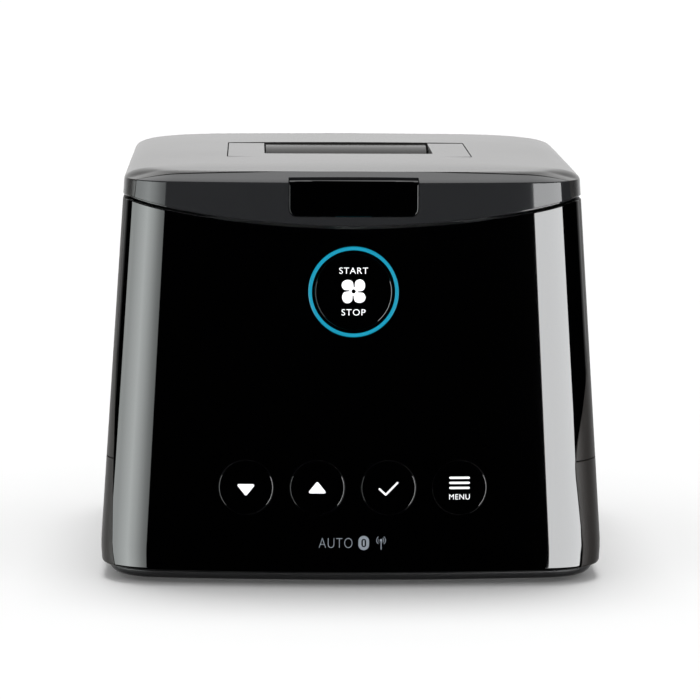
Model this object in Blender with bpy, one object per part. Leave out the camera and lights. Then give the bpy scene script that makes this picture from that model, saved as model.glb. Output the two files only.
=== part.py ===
"""Bedside positive-airway-pressure machine with a built-in humidifier.

Metres, +Z up. The front faces -Y and the origin is on the floor under the middle of the
machine. A tapered shell stands on a base tray: a gloss front cover with five press buttons,
and a satin housing round the sides and the back. A hinged lid with a flush carry handle
covers the humidifier bay. The blower, the heater, the boards and the filter are inside.
"""

import math

import bmesh
import bpy
from mathutils import Matrix, Vector

# ---- Overall size -----------------------------------------------------------------------
WIDTH = 0.170                 # widest, at WIDE_Z
WIDE_Z = 0.010
FRONT_Y = -0.106              # middle of the front at WIDE_Z
REAR_Y = 0.097                # rear wall at WIDE_Z
SIDE_TAPER = 0.0640           # each side leans in by this much per metre of height
FRONT_LEAN = math.radians(3.0)
REAR_TAPER = 0.020
FRONT_CORNER = 0.022          # plan radii
REAR_CORNER = 0.036
FRONT_BOW = 0.480
LID_TOP = 0.1392

# ---- Shell ------------------------------------------------------------------------------
WALL = 0.0024
GAP = 0.0003                  # between pieces that touch
SHELL_BOTTOM = 0.0050
LEVEL_SEAM = 0.041            # lower housing below, upper housing above
SEAM_SIDE = 0.1288            # height of the lid seam along the sides and the back
SEAM_FRONT = 0.1204           # its lowest point, at the middle of the front
SEAM_RADIUS = 0.338
SEAM_GAP = 0.0011
SEAM_TURN_Y = -0.060          # the seam is curved in front of this, straight behind it

# ---- Edges of the front cover, as distances behind FRONT_Y -------------------------------
COVER_LEFT = 0.0122           # at the floor on the left, rising straight
COVER_RIGHT = 0.0105          # up to SWEEP_LOW on the right, then a swept curve
COVER_UPPER = 0.0225          # at SWEEP_HIGH on both sides
SWEEP_LOW = 0.036
SWEEP_HIGH = 0.086
SWEEP_STEPS = 6

# ---- Lid --------------------------------------------------------------------------------
FRONT_EDGE_Z = 0.1352         # crisp upper edge of the lid's front band
BEVEL_DEPTH = 0.012           # front-to-back depth of the sloping facet above it
BEVEL_RISE = 0.0025
CROWN_DROP = 0.0016           # how far the top falls 100 mm from CROWN_Y
CROWN_Y = 0.010
HINGE = Vector((0.0, 0.1002, SEAM_SIDE))
KNUCKLE_RADIUS = 0.0036
PIN_RADIUS = 0.0015
LINER_BOTTOM = 0.1215
LINER_TOP = 0.1233

# ---- Carry handle -----------------------------------------------------------------------
HANDLE_HALF = 0.04225         # half its width
HANDLE_FRONT = -0.0330
HANDLE_REAR = 0.0330
HANDLE_THICK = 0.0070
HANDLE_TOP = 0.1390
HANDLE_ARM = 0.0127
HANDLE_BAR = 0.0130
HANDLE_AXIS = Vector((0.0, HANDLE_REAR - HANDLE_THICK / 2, HANDLE_TOP - HANDLE_THICK / 2))
POCKET_FLOOR = 0.1274
POCKET_SLACK = 0.0004

# ---- Lid release ------------------------------------------------------------------------
RELEASE_HALF = 0.0214
RELEASE_BOTTOM = 0.1242
RELEASE_THICK = 0.0028
RELEASE_TRAVEL = 0.0025
NOTCH_REAR = -0.0934

# ---- Buttons, measured on the leaning front --------------------------------------------
START_Z = 0.0992
START_RADIUS = 0.0127
RING_INNER = 0.0137
RING_OUTER = 0.0150
KEY_Z = 0.0337
KEY_RADIUS = 0.0090
KEY_X = {"down_button": -0.03570, "up_button": -0.01190, "confirm_button": 0.01190, "menu_button": 0.03570}
BUTTON_DEPTH = 0.0050
BUTTON_SLACK = 0.00025

# ---- Humidifier bay ---------------------------------------------------------------------
DECK_BOTTOM = 0.1154
DECK_TOP = 0.1176
BAY_HALF = 0.0640
BAY_FRONT = -0.0800
BAY_REAR = 0.0240
BAY_FLOOR = 0.0480
BAY_WALL = 0.0020
HEATER_CENTRE = Vector((0.0, -0.0280, 0.0))
HEATER_RADIUS = 0.0410
CHAMBER_SLACK = 0.0030
CHAMBER_RIM = 0.1000
CHAMBER_TOP = 0.1120
PORT_X = 0.0300               # air outlet, seen from the front on the right
PORT_Z = 0.0880
PORT_RADIUS = 0.0130
PORT_BORE = 0.0096
PORT_TIP = 0.1060

# ---- Blower -----------------------------------------------------------------------------
BLOWER = Vector((-0.0240, 0.0555, 0.0))
VOLUTE_RADIUS = 0.0270
VOLUTE_BOTTOM = 0.0760
VOLUTE_TOP = 0.1020
IMPELLER_RADIUS = 0.0210

# ---- Rear openings ----------------------------------------------------------------------
FILTER_LOW = Vector((-0.0430, 0.0, 0.0660))
FILTER_HIGH = Vector((0.0010, 0.0, 0.1020))
CARD_LOW = Vector((0.0180, 0.0, 0.0180))
CARD_HIGH = Vector((0.0440, 0.0, 0.0310))
INLET_CENTRE = Vector((-0.0300, 0.0, 0.0235))
INLET_HALF_X = 0.0140
INLET_HALF_Z = 0.0095

FOOT_X = 0.0660
FOOT_Y = 0.0760
FOOT_RADIUS = 0.0065
FOOT_HEIGHT = 0.0014
SCREW_X = 0.0775
SCREW_Y = 0.0560
TRAY_BOTTOM = 0.0016
TRAY_TOP = 0.0046

# ---- Fineness ---------------------------------------------------------------------------
BOW_STEPS = 5
CORNER_STEPS = 5
ROUND = 24
FINE_ROUND = 32
FAR = 0.300


def material(name, colour, roughness, metallic=0.0):
    made = bpy.data.materials.get(name)
    if made:
        return made
    made = bpy.data.materials.new(name)
    made.use_nodes = True
    shader = made.node_tree.nodes["Principled BSDF"]
    shader.inputs["Base Color"].default_value = (*colour, 1.0)
    shader.inputs["Roughness"].default_value = roughness
    shader.inputs["Metallic"].default_value = metallic
    return made


def gloss_black():
    return material("gloss_black", (0.004, 0.004, 0.005), 0.06)


def satin_grey():
    return material("satin_dark_grey", (0.030, 0.028, 0.027), 0.38)


def lid_grey():
    return material("lid_grey", (0.045, 0.044, 0.043), 0.28)


def base_grey():
    return material("base_grey", (0.020, 0.020, 0.020), 0.45)


def inner_grey():
    return material("inner_grey", (0.110, 0.115, 0.120), 0.50)


def rubber():
    return material("rubber", (0.012, 0.012, 0.012), 0.85)


def silicone():
    return material("silicone", (0.42, 0.42, 0.41), 0.60)


def clear_plastic():
    return material("clear_plastic", (0.62, 0.70, 0.74), 0.10)


def steel():
    return material("steel", (0.55, 0.55, 0.54), 0.30, 1.0)


def aluminium():
    return material("aluminium", (0.70, 0.71, 0.72), 0.35, 1.0)


def board_green():
    return material("circuit_board", (0.015, 0.11, 0.045), 0.45)


def light_blue():
    return material("light_ring", (0.01, 0.38, 0.60), 0.30)


def white_foam():
    return material("filter_pad", (0.70, 0.71, 0.70), 0.95)


# ---- Mesh helpers -----------------------------------------------------------------------

def clear_scene():
    for item in list(bpy.data.objects):
        bpy.data.objects.remove(item, do_unlink=True)


def new_object(name, shape, look):
    """Turn a bmesh into an object with outward faces and its own material."""
    bmesh.ops.recalc_face_normals(shape, faces=shape.faces)
    mesh = bpy.data.meshes.new(name)
    shape.to_mesh(mesh)
    shape.free()
    mesh.shade_smooth()
    mesh.set_sharp_from_angle(angle=math.radians(32))
    made = bpy.data.objects.new(name, mesh)
    bpy.context.scene.collection.objects.link(made)
    if look:
        mesh.materials.append(look)
    else:
        made.hide_render = True
        made.display_type = "WIRE"
    return made


def loft(name, rings, look=None, hollow=False):
    """Join rings of points in order: capped at both ends, or hollow and closed on itself."""
    shape = bmesh.new()
    rows = [[shape.verts.new(point) for point in ring] for ring in rings]
    pairs = list(zip(rows, rows[1:]))
    if hollow:
        pairs.append((rows[-1], rows[0]))
    else:
        shape.faces.new(rows[0])
        shape.faces.new(rows[-1])
    for low, high in pairs:
        for i in range(len(low)):
            j = (i + 1) % len(low)
            shape.faces.new((low[i], low[j], high[j], high[i]))
    return new_object(name, shape, look)


def box(name, low, high, look=None):
    shape = bmesh.new()
    bmesh.ops.create_cube(shape, size=1.0)
    low, high = Vector(low), Vector(high)
    size = high - low
    bmesh.ops.scale(shape, vec=size, verts=shape.verts)
    bmesh.ops.translate(shape, vec=(low + high) / 2, verts=shape.verts)
    return new_object(name, shape, look)


def rounded_box(name, low, high, radius, look=None, steps=3):
    """A box whose upright edges are rounded."""
    shape = bmesh.new()
    bmesh.ops.create_cube(shape, size=1.0)
    low, high = Vector(low), Vector(high)
    bmesh.ops.scale(shape, vec=high - low, verts=shape.verts)
    bmesh.ops.translate(shape, vec=(low + high) / 2, verts=shape.verts)
    upright = [e for e in shape.edges if abs(e.verts[0].co.z - e.verts[1].co.z) > 1e-6]
    bmesh.ops.bevel(shape, geom=upright, offset=radius, segments=steps, affect="EDGES",
                    profile=0.5, material=-1)
    return new_object(name, shape, look)


def turned(name, profile, centre, axis="Z", look=None, steps=ROUND, hollow=False):
    """Turn (radius, height) pairs about an axis through centre."""
    turn = {"X": Matrix.Rotation(math.pi / 2, 3, "Y"),
            "Y": Matrix.Rotation(-math.pi / 2, 3, "X"),
            "Z": Matrix.Identity(3)}[axis]
    rings = []
    for radius, height in profile:
        ring = []
        for i in range(steps):
            angle = 2 * math.pi * (i + 0.5) / steps
            point = Vector((radius * math.cos(angle), radius * math.sin(angle), height))
            ring.append(turn @ point + Vector(centre))
        rings.append(ring)
    return loft(name, rings, look, hollow)


def prism(name, side, half, look=None):
    """Extrude a (y, z) outline along X, half to each side."""
    return loft(name, [[Vector((x, y, z)) for y, z in side] for x in (-half, half)], look)


def boolean(made, operation, other):
    step = made.modifiers.new(operation.lower(), "BOOLEAN")
    step.operation = operation
    step.solver = "EXACT"
    step.object = other
    return made


def hang(made, empty):
    """Parent a piece whose mesh is in world coordinates to an empty on its joint axis."""
    made.parent = empty
    made.location = -empty.location
    return made


def joint_empty(name, place):
    made = bpy.data.objects.new(name, None)
    made.location = place
    bpy.context.scene.collection.objects.link(made)
    return made


# ---- Outline of the machine -------------------------------------------------------------

def front_y(z):
    return FRONT_Y + math.tan(FRONT_LEAN) * (z - WIDE_Z)


def half_width(z):
    return WIDTH / 2 - SIDE_TAPER * (z - WIDE_Z)


def rear_y(z):
    return REAR_Y - REAR_TAPER * (z - WIDE_Z)


def plan(z, inset=0.0):
    """The outline at one height, anticlockwise from the middle of the front."""
    corner_x = half_width(z) - FRONT_CORNER
    bow_y = front_y(z) + FRONT_BOW
    corner_y = bow_y - math.sqrt((FRONT_BOW - FRONT_CORNER) ** 2 - corner_x ** 2)
    meet = math.atan2(corner_x, bow_y - corner_y)
    right = []
    for i in range(1, BOW_STEPS):
        angle = meet * i / BOW_STEPS
        radius = FRONT_BOW - inset
        right.append((radius * math.sin(angle), bow_y - radius * math.cos(angle)))
    for i in range(CORNER_STEPS + 1):
        angle = meet - math.pi / 2 + (math.pi / 2 - meet) * i / CORNER_STEPS
        radius = FRONT_CORNER - inset
        right.append((corner_x + radius * math.cos(angle), corner_y + radius * math.sin(angle)))
    rear_x = half_width(z) - REAR_CORNER
    rear_centre = rear_y(z) - REAR_CORNER
    for i in range(CORNER_STEPS + 1):
        angle = math.pi / 2 * i / CORNER_STEPS
        radius = REAR_CORNER - inset
        right.append((rear_x + radius * math.cos(angle), rear_centre + radius * math.sin(angle)))
    left = [(-x, y) for x, y in reversed(right)]
    whole = [(0.0, front_y(z) + inset)] + right + [(0.0, rear_y(z) - inset)] + left
    return [Vector((x, y, z)) for x, y in whole]


def seam_z(x):
    """Height of the seam between lid and shell: a shallow smile across the front."""
    arc = SEAM_FRONT + SEAM_RADIUS - math.sqrt(SEAM_RADIUS ** 2 - x ** 2)
    return min(arc, SEAM_SIDE)


def seam_block(name, offset, far_z):
    """Everything on one side of the lid seam, as a solid to intersect with."""
    steps = 16
    across = [(-0.5 + i / steps) * 0.170 for i in range(steps + 1)]
    rings = []
    for y, curved in ((-FAR, True), (SEAM_TURN_Y, True), (SEAM_TURN_Y + 0.001, False), (FAR, False)):
        edge = [Vector((x, y, (seam_z(x) if curved else SEAM_SIDE) + offset)) for x in across]
        edge.append(Vector((FAR, y, SEAM_SIDE + offset)))
        edge.append(Vector((FAR, y, far_z)))
        edge.append(Vector((-FAR, y, far_z)))
        edge.append(Vector((-FAR, y, SEAM_SIDE + offset)))
        rings.append(edge)
    return loft(name, rings)


def side_seam(side):
    """(y, z) points of one edge of the front cover: straight on the left, swept on the right."""
    rise = [SWEEP_LOW + (SWEEP_HIGH - SWEEP_LOW) * i / SWEEP_STEPS for i in range(SWEEP_STEPS + 1)]
    points = []
    for z in [0.0] + rise + [0.170]:
        if side < 0:
            reach = COVER_LEFT + (COVER_UPPER - COVER_LEFT) * min(1.0, z / SWEEP_HIGH)
        else:
            share = min(1.0, max(0.0, (z - SWEEP_LOW) / (SWEEP_HIGH - SWEEP_LOW)))
            reach = COVER_RIGHT + (COVER_UPPER - COVER_RIGHT) * share * share * (3 - 2 * share)
        points.append((FRONT_Y + reach + math.tan(FRONT_LEAN) * max(0.0, z - SWEEP_HIGH), z))
    return points


def seam_solid(name, offset, far_y):
    """Everything in front of the cover's edges, or everything behind them."""
    rings = []
    for x in (-FAR, -0.001, 0.001, FAR):
        ring = [Vector((x, y + offset, z)) for y, z in side_seam(x)]
        rings.append(ring + [Vector((x, far_y, 0.170)), Vector((x, far_y, 0.0))])
    return loft(name, rings)


def outer_body():
    """The whole machine as one solid, for trimming pieces flush with its surface."""
    levels = ((SHELL_BOTTOM, 0.0026), (0.0068, 0.0012), (0.0095, 0.0003), (0.0130, 0.0), (0.150, 0.0))
    return loft("guide_outer_body", [plan(z, inset) for z, inset in levels])


def shell(name, look):
    """The wall that runs round the machine, before it is cut into pieces."""
    outer = ((SHELL_BOTTOM, 0.0026), (0.0068, 0.0012), (0.0095, 0.0003), (0.0130, 0.0), (0.1350, 0.0))
    inner = ((0.1350, WALL), (0.0130, WALL), (0.0095, WALL + 0.0004), (SHELL_BOTTOM, WALL + 0.0020))
    rings = [plan(z, inset) for z, inset in outer + inner]
    return loft(name, rings, look, hollow=True)


# ---- Housing ----------------------------------------------------------------------------

def front_cover(below_seam, front_frame):
    made = shell("front_cover", gloss_black())
    boolean(made, "INTERSECT", seam_solid("guide_cover_side", -GAP / 2, -FAR))
    boolean(made, "INTERSECT", below_seam)
    hole = turned("guide_start_hole", ((RING_OUTER + GAP, -0.02), (RING_OUTER + GAP, 0.02)),
                  (0, 0, START_Z - WIDE_Z), "Y", steps=FINE_ROUND)
    hole.parent = front_frame
    boolean(made, "DIFFERENCE", hole)
    for name, x in KEY_X.items():
        radius = KEY_RADIUS + BUTTON_SLACK
        hole = turned(f"guide_{name}_hole", ((radius, -0.02), (radius, 0.02)),
                      (x, 0, KEY_Z - WIDE_Z), "Y")
        hole.parent = front_frame
        boolean(made, "DIFFERENCE", hole)
    return made


def housing_side(below_seam):
    """The satin shell behind the front cover, as a lower and an upper piece."""
    behind = seam_solid("guide_behind_cover", GAP / 2, FAR)
    upper = shell("upper_housing", satin_grey())
    boolean(upper, "INTERSECT", behind)
    boolean(upper, "INTERSECT", below_seam)
    boolean(upper, "DIFFERENCE", box("guide_upper_cut", (-FAR, -FAR, -FAR), (FAR, FAR, LEVEL_SEAM + GAP)))
    lower = shell("lower_housing", satin_grey())
    boolean(lower, "INTERSECT", behind)
    boolean(lower, "DIFFERENCE", box("guide_lower_cut", (-FAR, -FAR, LEVEL_SEAM), (FAR, FAR, FAR)))
    for x in (-SCREW_X, SCREW_X):
        for y in (-SCREW_Y, SCREW_Y):
            place = (x, y, 0)
            boss = turned("guide_boss", ((0.0052, 0.0056), (0.0052, 0.0200)), place, steps=12)
            trim = plan(0.0056, 0.0010), plan(0.0200, 0.0010)
            boolean(boss, "INTERSECT", loft("guide_boss_trim", trim))
            boolean(lower, "UNION", boss)
            bore = turned("guide_boss_bore", ((0.0018, 0.0), (0.0018, 0.0160)), place, steps=12)
            boolean(lower, "DIFFERENCE", bore)
    return lower, upper


def rear_openings(lower, upper):
    """Cut the wall for the filter, the outlet port, the mains inlet and the card slot."""
    slack = Vector((GAP, 0, GAP))
    low, high = FILTER_LOW - slack, FILTER_HIGH + slack
    boolean(upper, "DIFFERENCE", box("guide_filter_hole", (low.x, 0.080, low.z), (high.x, 0.120, high.z)))
    radius = PORT_RADIUS + GAP
    boolean(upper, "DIFFERENCE", turned("guide_port_hole", ((radius, 0.080), (radius, 0.120)),
                                        (PORT_X, 0, PORT_Z), "Y"))
    low, high = CARD_LOW - slack, CARD_HIGH + slack
    boolean(lower, "DIFFERENCE", box("guide_card_hole", (low.x, 0.080, low.z), (high.x, 0.120, high.z)))
    x, z = INLET_CENTRE.x, INLET_CENTRE.z
    boolean(lower, "DIFFERENCE",
            box("guide_inlet_hole", (x - INLET_HALF_X - GAP, 0.080, z - INLET_HALF_Z - GAP),
                (x + INLET_HALF_X + GAP, 0.120, z + INLET_HALF_Z + GAP)))


def housing_knuckles(upper):
    """Two barrels on the rear wall that carry the hinge pin."""
    for side in (-1, 1):
        centre = (side * 0.0165, HINGE.y, HINGE.z)
        ends = (-0.0075, 0.0075)
        barrel = turned("guide_barrel", [(KNUCKLE_RADIUS, x) for x in ends], centre, "X", steps=16)
        web = [(HINGE.y - 0.0070, SEAM_SIDE - 0.0100), (HINGE.y - 0.0070, SEAM_SIDE - 0.0022),
               (HINGE.y, SEAM_SIDE - 0.0022), (HINGE.y + 0.0028, SEAM_SIDE - 0.0018),
               (HINGE.y - 0.0040, SEAM_SIDE - 0.0100)]
        arm = loft("guide_barrel_arm", [[Vector((centre[0] + x, y, z)) for y, z in web] for x in ends])
        boolean(barrel, "UNION", arm)
        boolean(upper, "UNION", barrel)
    bore = [(PIN_RADIUS + GAP, -0.030), (PIN_RADIUS + GAP, 0.030)]
    boolean(upper, "DIFFERENCE", turned("guide_pin_bore", bore, HINGE, "X", steps=16))


def base_tray():
    levels = ((TRAY_BOTTOM, 0.0062), (0.0024, 0.0046), (TRAY_TOP, 0.0034))
    tray = loft("base_tray", [plan(z, inset) for z, inset in levels], base_grey())
    for x in (-SCREW_X, SCREW_X):
        for y in (-SCREW_Y, SCREW_Y):
            hole = turned("guide_screw_hole", ((0.0018, -0.01), (0.0018, 0.01)), (x, y, 0), steps=12)
            seat = turned("guide_screw_seat", ((0.0034, -0.01), (0.0034, 0.0032)), (x, y, 0), steps=12)
            boolean(tray, "DIFFERENCE", hole)
            boolean(tray, "DIFFERENCE", seat)


def feet_and_screws():
    corners = {"front_left": (-1, -1), "front_right": (1, -1), "rear_left": (-1, 1), "rear_right": (1, 1)}
    for name, (across, along) in corners.items():
        pad = ((FOOT_RADIUS - 0.0004, 0.0), (FOOT_RADIUS, 0.0004), (FOOT_RADIUS, FOOT_HEIGHT - 0.0001))
        turned(f"foot_{name}", pad, (across * FOOT_X, along * FOOT_Y, 0), look=rubber(), steps=20)
        screw = ((0.0028, 0.0018), (0.0030, 0.0020), (0.0030, 0.0029), (0.0015, 0.0029), (0.0015, 0.0150))
        turned(f"base_screw_{name}", screw, (across * SCREW_X, along * SCREW_Y, 0), look=steel(), steps=12)


# ---- Front controls ---------------------------------------------------------------------

def buttons(body, front_frame):
    """Press buttons and the light ring, each trimmed flush with the front."""
    ring_profile = ((RING_OUTER, -0.02), (RING_OUTER, 0.0042), (RING_INNER, 0.0042), (RING_INNER, -0.02))
    ring = turned("start_light_ring", ring_profile, (0, 0, 0), "Y", light_blue(), FINE_ROUND, hollow=True)
    ring.parent = front_frame
    ring.location = (0, 0, START_Z - WIDE_Z)
    boolean(ring, "INTERSECT", body)
    places = {"start_button": (0.0, START_Z, START_RADIUS, FINE_ROUND)}
    for name, x in KEY_X.items():
        places[name] = (x, KEY_Z, KEY_RADIUS, ROUND)
    for name, (x, z, radius, steps) in places.items():
        profile = ((radius, -0.02), (radius, BUTTON_DEPTH))
        key = turned(name, profile, (0, 0, 0), "Y", gloss_black(), steps)
        key.parent = front_frame
        key.location = (x, 0, z - WIDE_Z)
        boolean(key, "INTERSECT", body)


def front_boards(front_frame):
    """Keypad mat, display and control board, stacked behind the front cover."""
    start = START_Z - WIDE_Z
    layers = (
        ("keypad_mat", (-0.0470, 0.0062, 0.0080), (0.0470, 0.0072, 0.0340), silicone()),
        ("start_switch_pad", (-0.0150, 0.0062, start - 0.0118), (0.0150, 0.0072, start + 0.0042), silicone()),
        ("status_display", (-0.0200, 0.0042, -0.0010), (0.0200, 0.0072, 0.0074), inner_grey()),
        ("control_board", (-0.0560, 0.0080, -0.0020), (0.0560, 0.0096, start + 0.0052), board_green()),
    )
    for name, low, high, look in layers:
        box(name, low, high, look).parent = front_frame


# ---- Lid --------------------------------------------------------------------------------

def crown(point):
    """How far the lid's top falls below its highest point at (x, y)."""
    along = (point.y - CROWN_Y) / 0.100
    across = point.x / 0.077
    return CROWN_DROP * along * along + 0.0006 * across * across


def lid_solid(name, levels, look=None):
    """Rings climb the lid's side, roll over its edge and then shrink to the middle."""
    rings = []
    foot = levels[1][0]
    top = levels[-1][0]
    for z, inset in levels:
        share = max(0.0, (z - foot) / (top - foot))
        rings.append([p - Vector((0, 0, crown(p) * share)) for p in plan(z, inset)])
    rim = plan(*levels[-1])
    middle = Vector((0.0, 0.0, top))
    for scale in (0.72, 0.40, 0.06):
        ring = [middle + (p - middle) * scale for p in rim]
        rings.append([p - Vector((0, 0, crown(p))) for p in ring])
    return loft(name, rings, look)


OUTER_LEVELS = ((LID_TOP - 0.0230, 0.0), (LID_TOP - 0.0070, 0.0), (LID_TOP - 0.0044, 0.0005),
                (LID_TOP - 0.0024, 0.0019), (LID_TOP - 0.0011, 0.0040), (LID_TOP - 0.0003, 0.0075),
                (LID_TOP, 0.0125))
INNER_LEVELS = ((LID_TOP - 0.0280, WALL), (LID_TOP - 0.0088, WALL), (LID_TOP - 0.0068, 0.0034),
                (LID_TOP - 0.0052, 0.0062), (LID_TOP - 0.0036, 0.0120), (LID_TOP - 0.0026, 0.0170))


def bevel_cutter():
    """Everything above the sloping facet along the front of the lid."""
    edge_y = front_y(FRONT_EDGE_Z)
    slope = BEVEL_RISE / BEVEL_DEPTH
    near, far = edge_y - 0.030, edge_y + 0.040
    side = [(near, FRONT_EDGE_Z - 0.030 * slope), (far, FRONT_EDGE_Z + 0.040 * slope),
            (far, 0.200), (near, 0.200)]
    return prism("guide_bevel", side, FAR)


def crease_y():
    return front_y(FRONT_EDGE_Z) + BEVEL_DEPTH


def lid_shell(name, look, above_seam, bevel):
    made = lid_solid(name, OUTER_LEVELS, look)
    boolean(made, "DIFFERENCE", lid_solid(f"guide_{name}_inside", INNER_LEVELS))
    boolean(made, "INTERSECT", above_seam)
    boolean(made, "DIFFERENCE", bevel)
    return made


def lid(above_seam, lid_axis):
    bevel = bevel_cutter()
    cover = lid_shell("lid_cover", lid_grey(), above_seam, bevel)
    boolean(cover, "DIFFERENCE", box("guide_cover_front", (-FAR, -FAR, -FAR),
                                     (FAR, crease_y() + GAP / 2, FAR)))
    reach = HANDLE_HALF + POCKET_SLACK
    boolean(cover, "DIFFERENCE", box("guide_pocket", (-reach, HANDLE_FRONT - POCKET_SLACK, 0.120),
                                     (reach, HANDLE_REAR + POCKET_SLACK, 0.150)))
    groove = ((PIN_RADIUS + GAP, -0.0460), (PIN_RADIUS + GAP, 0.0460))
    boolean(cover, "DIFFERENCE", turned("guide_pin_groove", groove, HANDLE_AXIS, "X", steps=12))
    lid_knuckle(cover)
    hang(cover, lid_axis)

    trim = lid_shell("lid_front_trim", lid_grey(), above_seam, bevel)
    boolean(trim, "DIFFERENCE", box("guide_trim_rear", (-FAR, crease_y() - GAP / 2, -FAR),
                                    (FAR, FAR, FAR)))
    notch = RELEASE_HALF + GAP
    boolean(trim, "DIFFERENCE", box("guide_notch", (-notch, -FAR, RELEASE_BOTTOM - GAP),
                                    (notch, NOTCH_REAR, FAR)))
    hang(trim, lid_axis)
    return bevel


def lid_knuckle(cover):
    """The middle barrel of the hinge, on an arm from the lid's rear edge."""
    half = 0.0070
    barrel = turned("guide_lid_barrel", ((KNUCKLE_RADIUS, -half), (KNUCKLE_RADIUS, half)), HINGE, "X",
                    steps=16)
    web = [(HINGE.y - 0.0070, HINGE.z + 0.0020), (HINGE.y, HINGE.z + 0.0018), (HINGE.y + 0.0035, HINGE.z),
           (HINGE.y + 0.0010, HINGE.z + 0.0076), (HINGE.y - 0.0070, HINGE.z + 0.0076)]
    arm = loft("guide_lid_arm", [[Vector((x, y, z)) for y, z in web] for x in (-half, half)])
    boolean(barrel, "UNION", arm)
    boolean(cover, "UNION", barrel)
    bore = ((PIN_RADIUS + GAP, -0.030), (PIN_RADIUS + GAP, 0.030))
    boolean(cover, "DIFFERENCE", turned("guide_lid_bore", bore, HINGE, "X", steps=16))


def lid_inside(lid_axis):
    """Liner plate and the seal that closes the humidifier bay."""
    liner = loft("lid_liner", [plan(z, 0.0046) for z in (LINER_BOTTOM, LINER_TOP)], inner_grey())
    boolean(liner, "DIFFERENCE", box("guide_liner_front", (-0.030, -FAR, 0.110), (0.030, -0.0885, 0.130)))
    hang(liner, lid_axis)
    low = (-BAY_HALF - 0.0050, BAY_FRONT - 0.0050, DECK_TOP + GAP)
    high = (BAY_HALF + 0.0050, BAY_REAR + 0.0050, LINER_BOTTOM - GAP)
    seal = rounded_box("lid_seal", low, high, 0.0140, silicone())
    shrink = Vector((0.0040, 0.0040, -0.0100))
    inside = rounded_box("guide_seal_inside", Vector(low) + shrink, Vector(high) - shrink, 0.0100)
    boolean(seal, "DIFFERENCE", inside)
    hang(seal, lid_axis)


def lid_release(bevel, lid_axis):
    """Press button in the lid's front edge, with the latch hook behind it."""
    face = lid_solid("guide_release_face", OUTER_LEVELS)
    boolean(face, "DIFFERENCE", bevel)
    rear = front_y(FRONT_EDGE_Z) + RELEASE_THICK
    button = box("release_button", (-RELEASE_HALF, -FAR, RELEASE_BOTTOM), (RELEASE_HALF, rear, FAR),
                 gloss_black())
    boolean(button, "INTERSECT", face)
    hang(button, lid_axis)
    front = rear + GAP
    outline = ((0.0, 0.0010), (0.0, 0.0055), (0.0018, 0.0055), (0.0018, 0.0025), (0.0050, -0.0005),
               (0.0050, -0.0125), (0.0012, -0.0125), (0.0012, -0.0108), (0.0030, -0.0093), (0.0030, -0.0015))
    side = [(front + y, RELEASE_BOTTOM + z) for y, z in outline]
    latch = prism("release_latch", side, 0.0060, steel())
    hang(latch, lid_axis)


def latch_catch():
    top = RELEASE_BOTTOM - 0.0054
    inner = front_y(top) + WALL + GAP
    nose = inner + 0.0014
    side = [(inner, top - 0.0034), (nose, top - 0.0030), (nose, top - 0.0016), (inner, top)]
    prism("latch_catch", side, 0.0070, steel())


# ---- Carry handle -----------------------------------------------------------------------

def carry_handle(handle_axis):
    """Flush U-shaped bail: a front bar, two arms, and rounded rear ends on the pivot."""
    made = rounded_box("carry_handle", (-HANDLE_HALF, HANDLE_FRONT, HANDLE_TOP - HANDLE_THICK),
                       (HANDLE_HALF, HANDLE_AXIS.y, HANDLE_TOP), 0.0015, lid_grey(), steps=2)
    inner = HANDLE_HALF - HANDLE_ARM
    opening = rounded_box("guide_handle_opening", (-inner, HANDLE_FRONT + HANDLE_BAR, 0.120),
                          (inner, 0.060, 0.150), 0.0020)
    boolean(made, "DIFFERENCE", opening)
    for side in (-1, 1):
        middle = side * (HANDLE_HALF - HANDLE_ARM / 2)
        ends = (-HANDLE_ARM / 2, HANDLE_ARM / 2)
        end = turned("guide_handle_end", [(HANDLE_THICK / 2, x) for x in ends],
                     (middle, HANDLE_AXIS.y, HANDLE_AXIS.z), "X", steps=20)
        boolean(made, "UNION", end)
    bore = ((PIN_RADIUS + GAP, -0.060), (PIN_RADIUS + GAP, 0.060))
    boolean(made, "DIFFERENCE", turned("guide_handle_bore", bore, HANDLE_AXIS, "X", steps=12))
    hang(made, handle_axis)


def handle_tray(lid_axis):
    """The pocket that the handle folds into, and the finger scoop in its middle."""
    inside = HANDLE_HALF + POCKET_SLACK
    wall = 0.0020
    top = HANDLE_TOP - 0.0033
    front, rear = HANDLE_FRONT - POCKET_SLACK, HANDLE_REAR + POCKET_SLACK
    tray = box("handle_tray", (-inside - wall, front - wall, POCKET_FLOOR - wall),
               (inside + wall, rear + wall, top), lid_grey())
    hollow = box("guide_tray_inside", (-inside, front, POCKET_FLOOR), (inside, rear, 0.150))
    boolean(tray, "DIFFERENCE", hollow)
    bore = ((PIN_RADIUS + GAP, -0.060), (PIN_RADIUS + GAP, 0.060))
    boolean(tray, "DIFFERENCE", turned("guide_tray_bore", bore, HANDLE_AXIS, "X", steps=12))
    hang(tray, lid_axis)
    inner = HANDLE_HALF - HANDLE_ARM - 0.0006
    floor = POCKET_FLOOR + GAP
    ramp = [(-0.0080, floor), (rear - GAP, floor), (rear - GAP, HANDLE_TOP - 0.0006),
            (0.0180, HANDLE_TOP - 0.0016), (0.0040, HANDLE_TOP - 0.0068), (-0.0060, HANDLE_TOP - 0.0103)]
    scoop = prism("finger_scoop", ramp, inner, lid_grey())
    hang(scoop, lid_axis)
    for name, side in (("left", -1), ("right", 1)):
        reach = ((PIN_RADIUS, -0.0060), (PIN_RADIUS, 0.0060))
        centre = (side * (HANDLE_HALF - 0.0030), HANDLE_AXIS.y, HANDLE_AXIS.z)
        hang(turned(f"handle_pin_{name}", reach, centre, "X", steel(), 12), lid_axis)


# ---- Humidifier -------------------------------------------------------------------------

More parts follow.
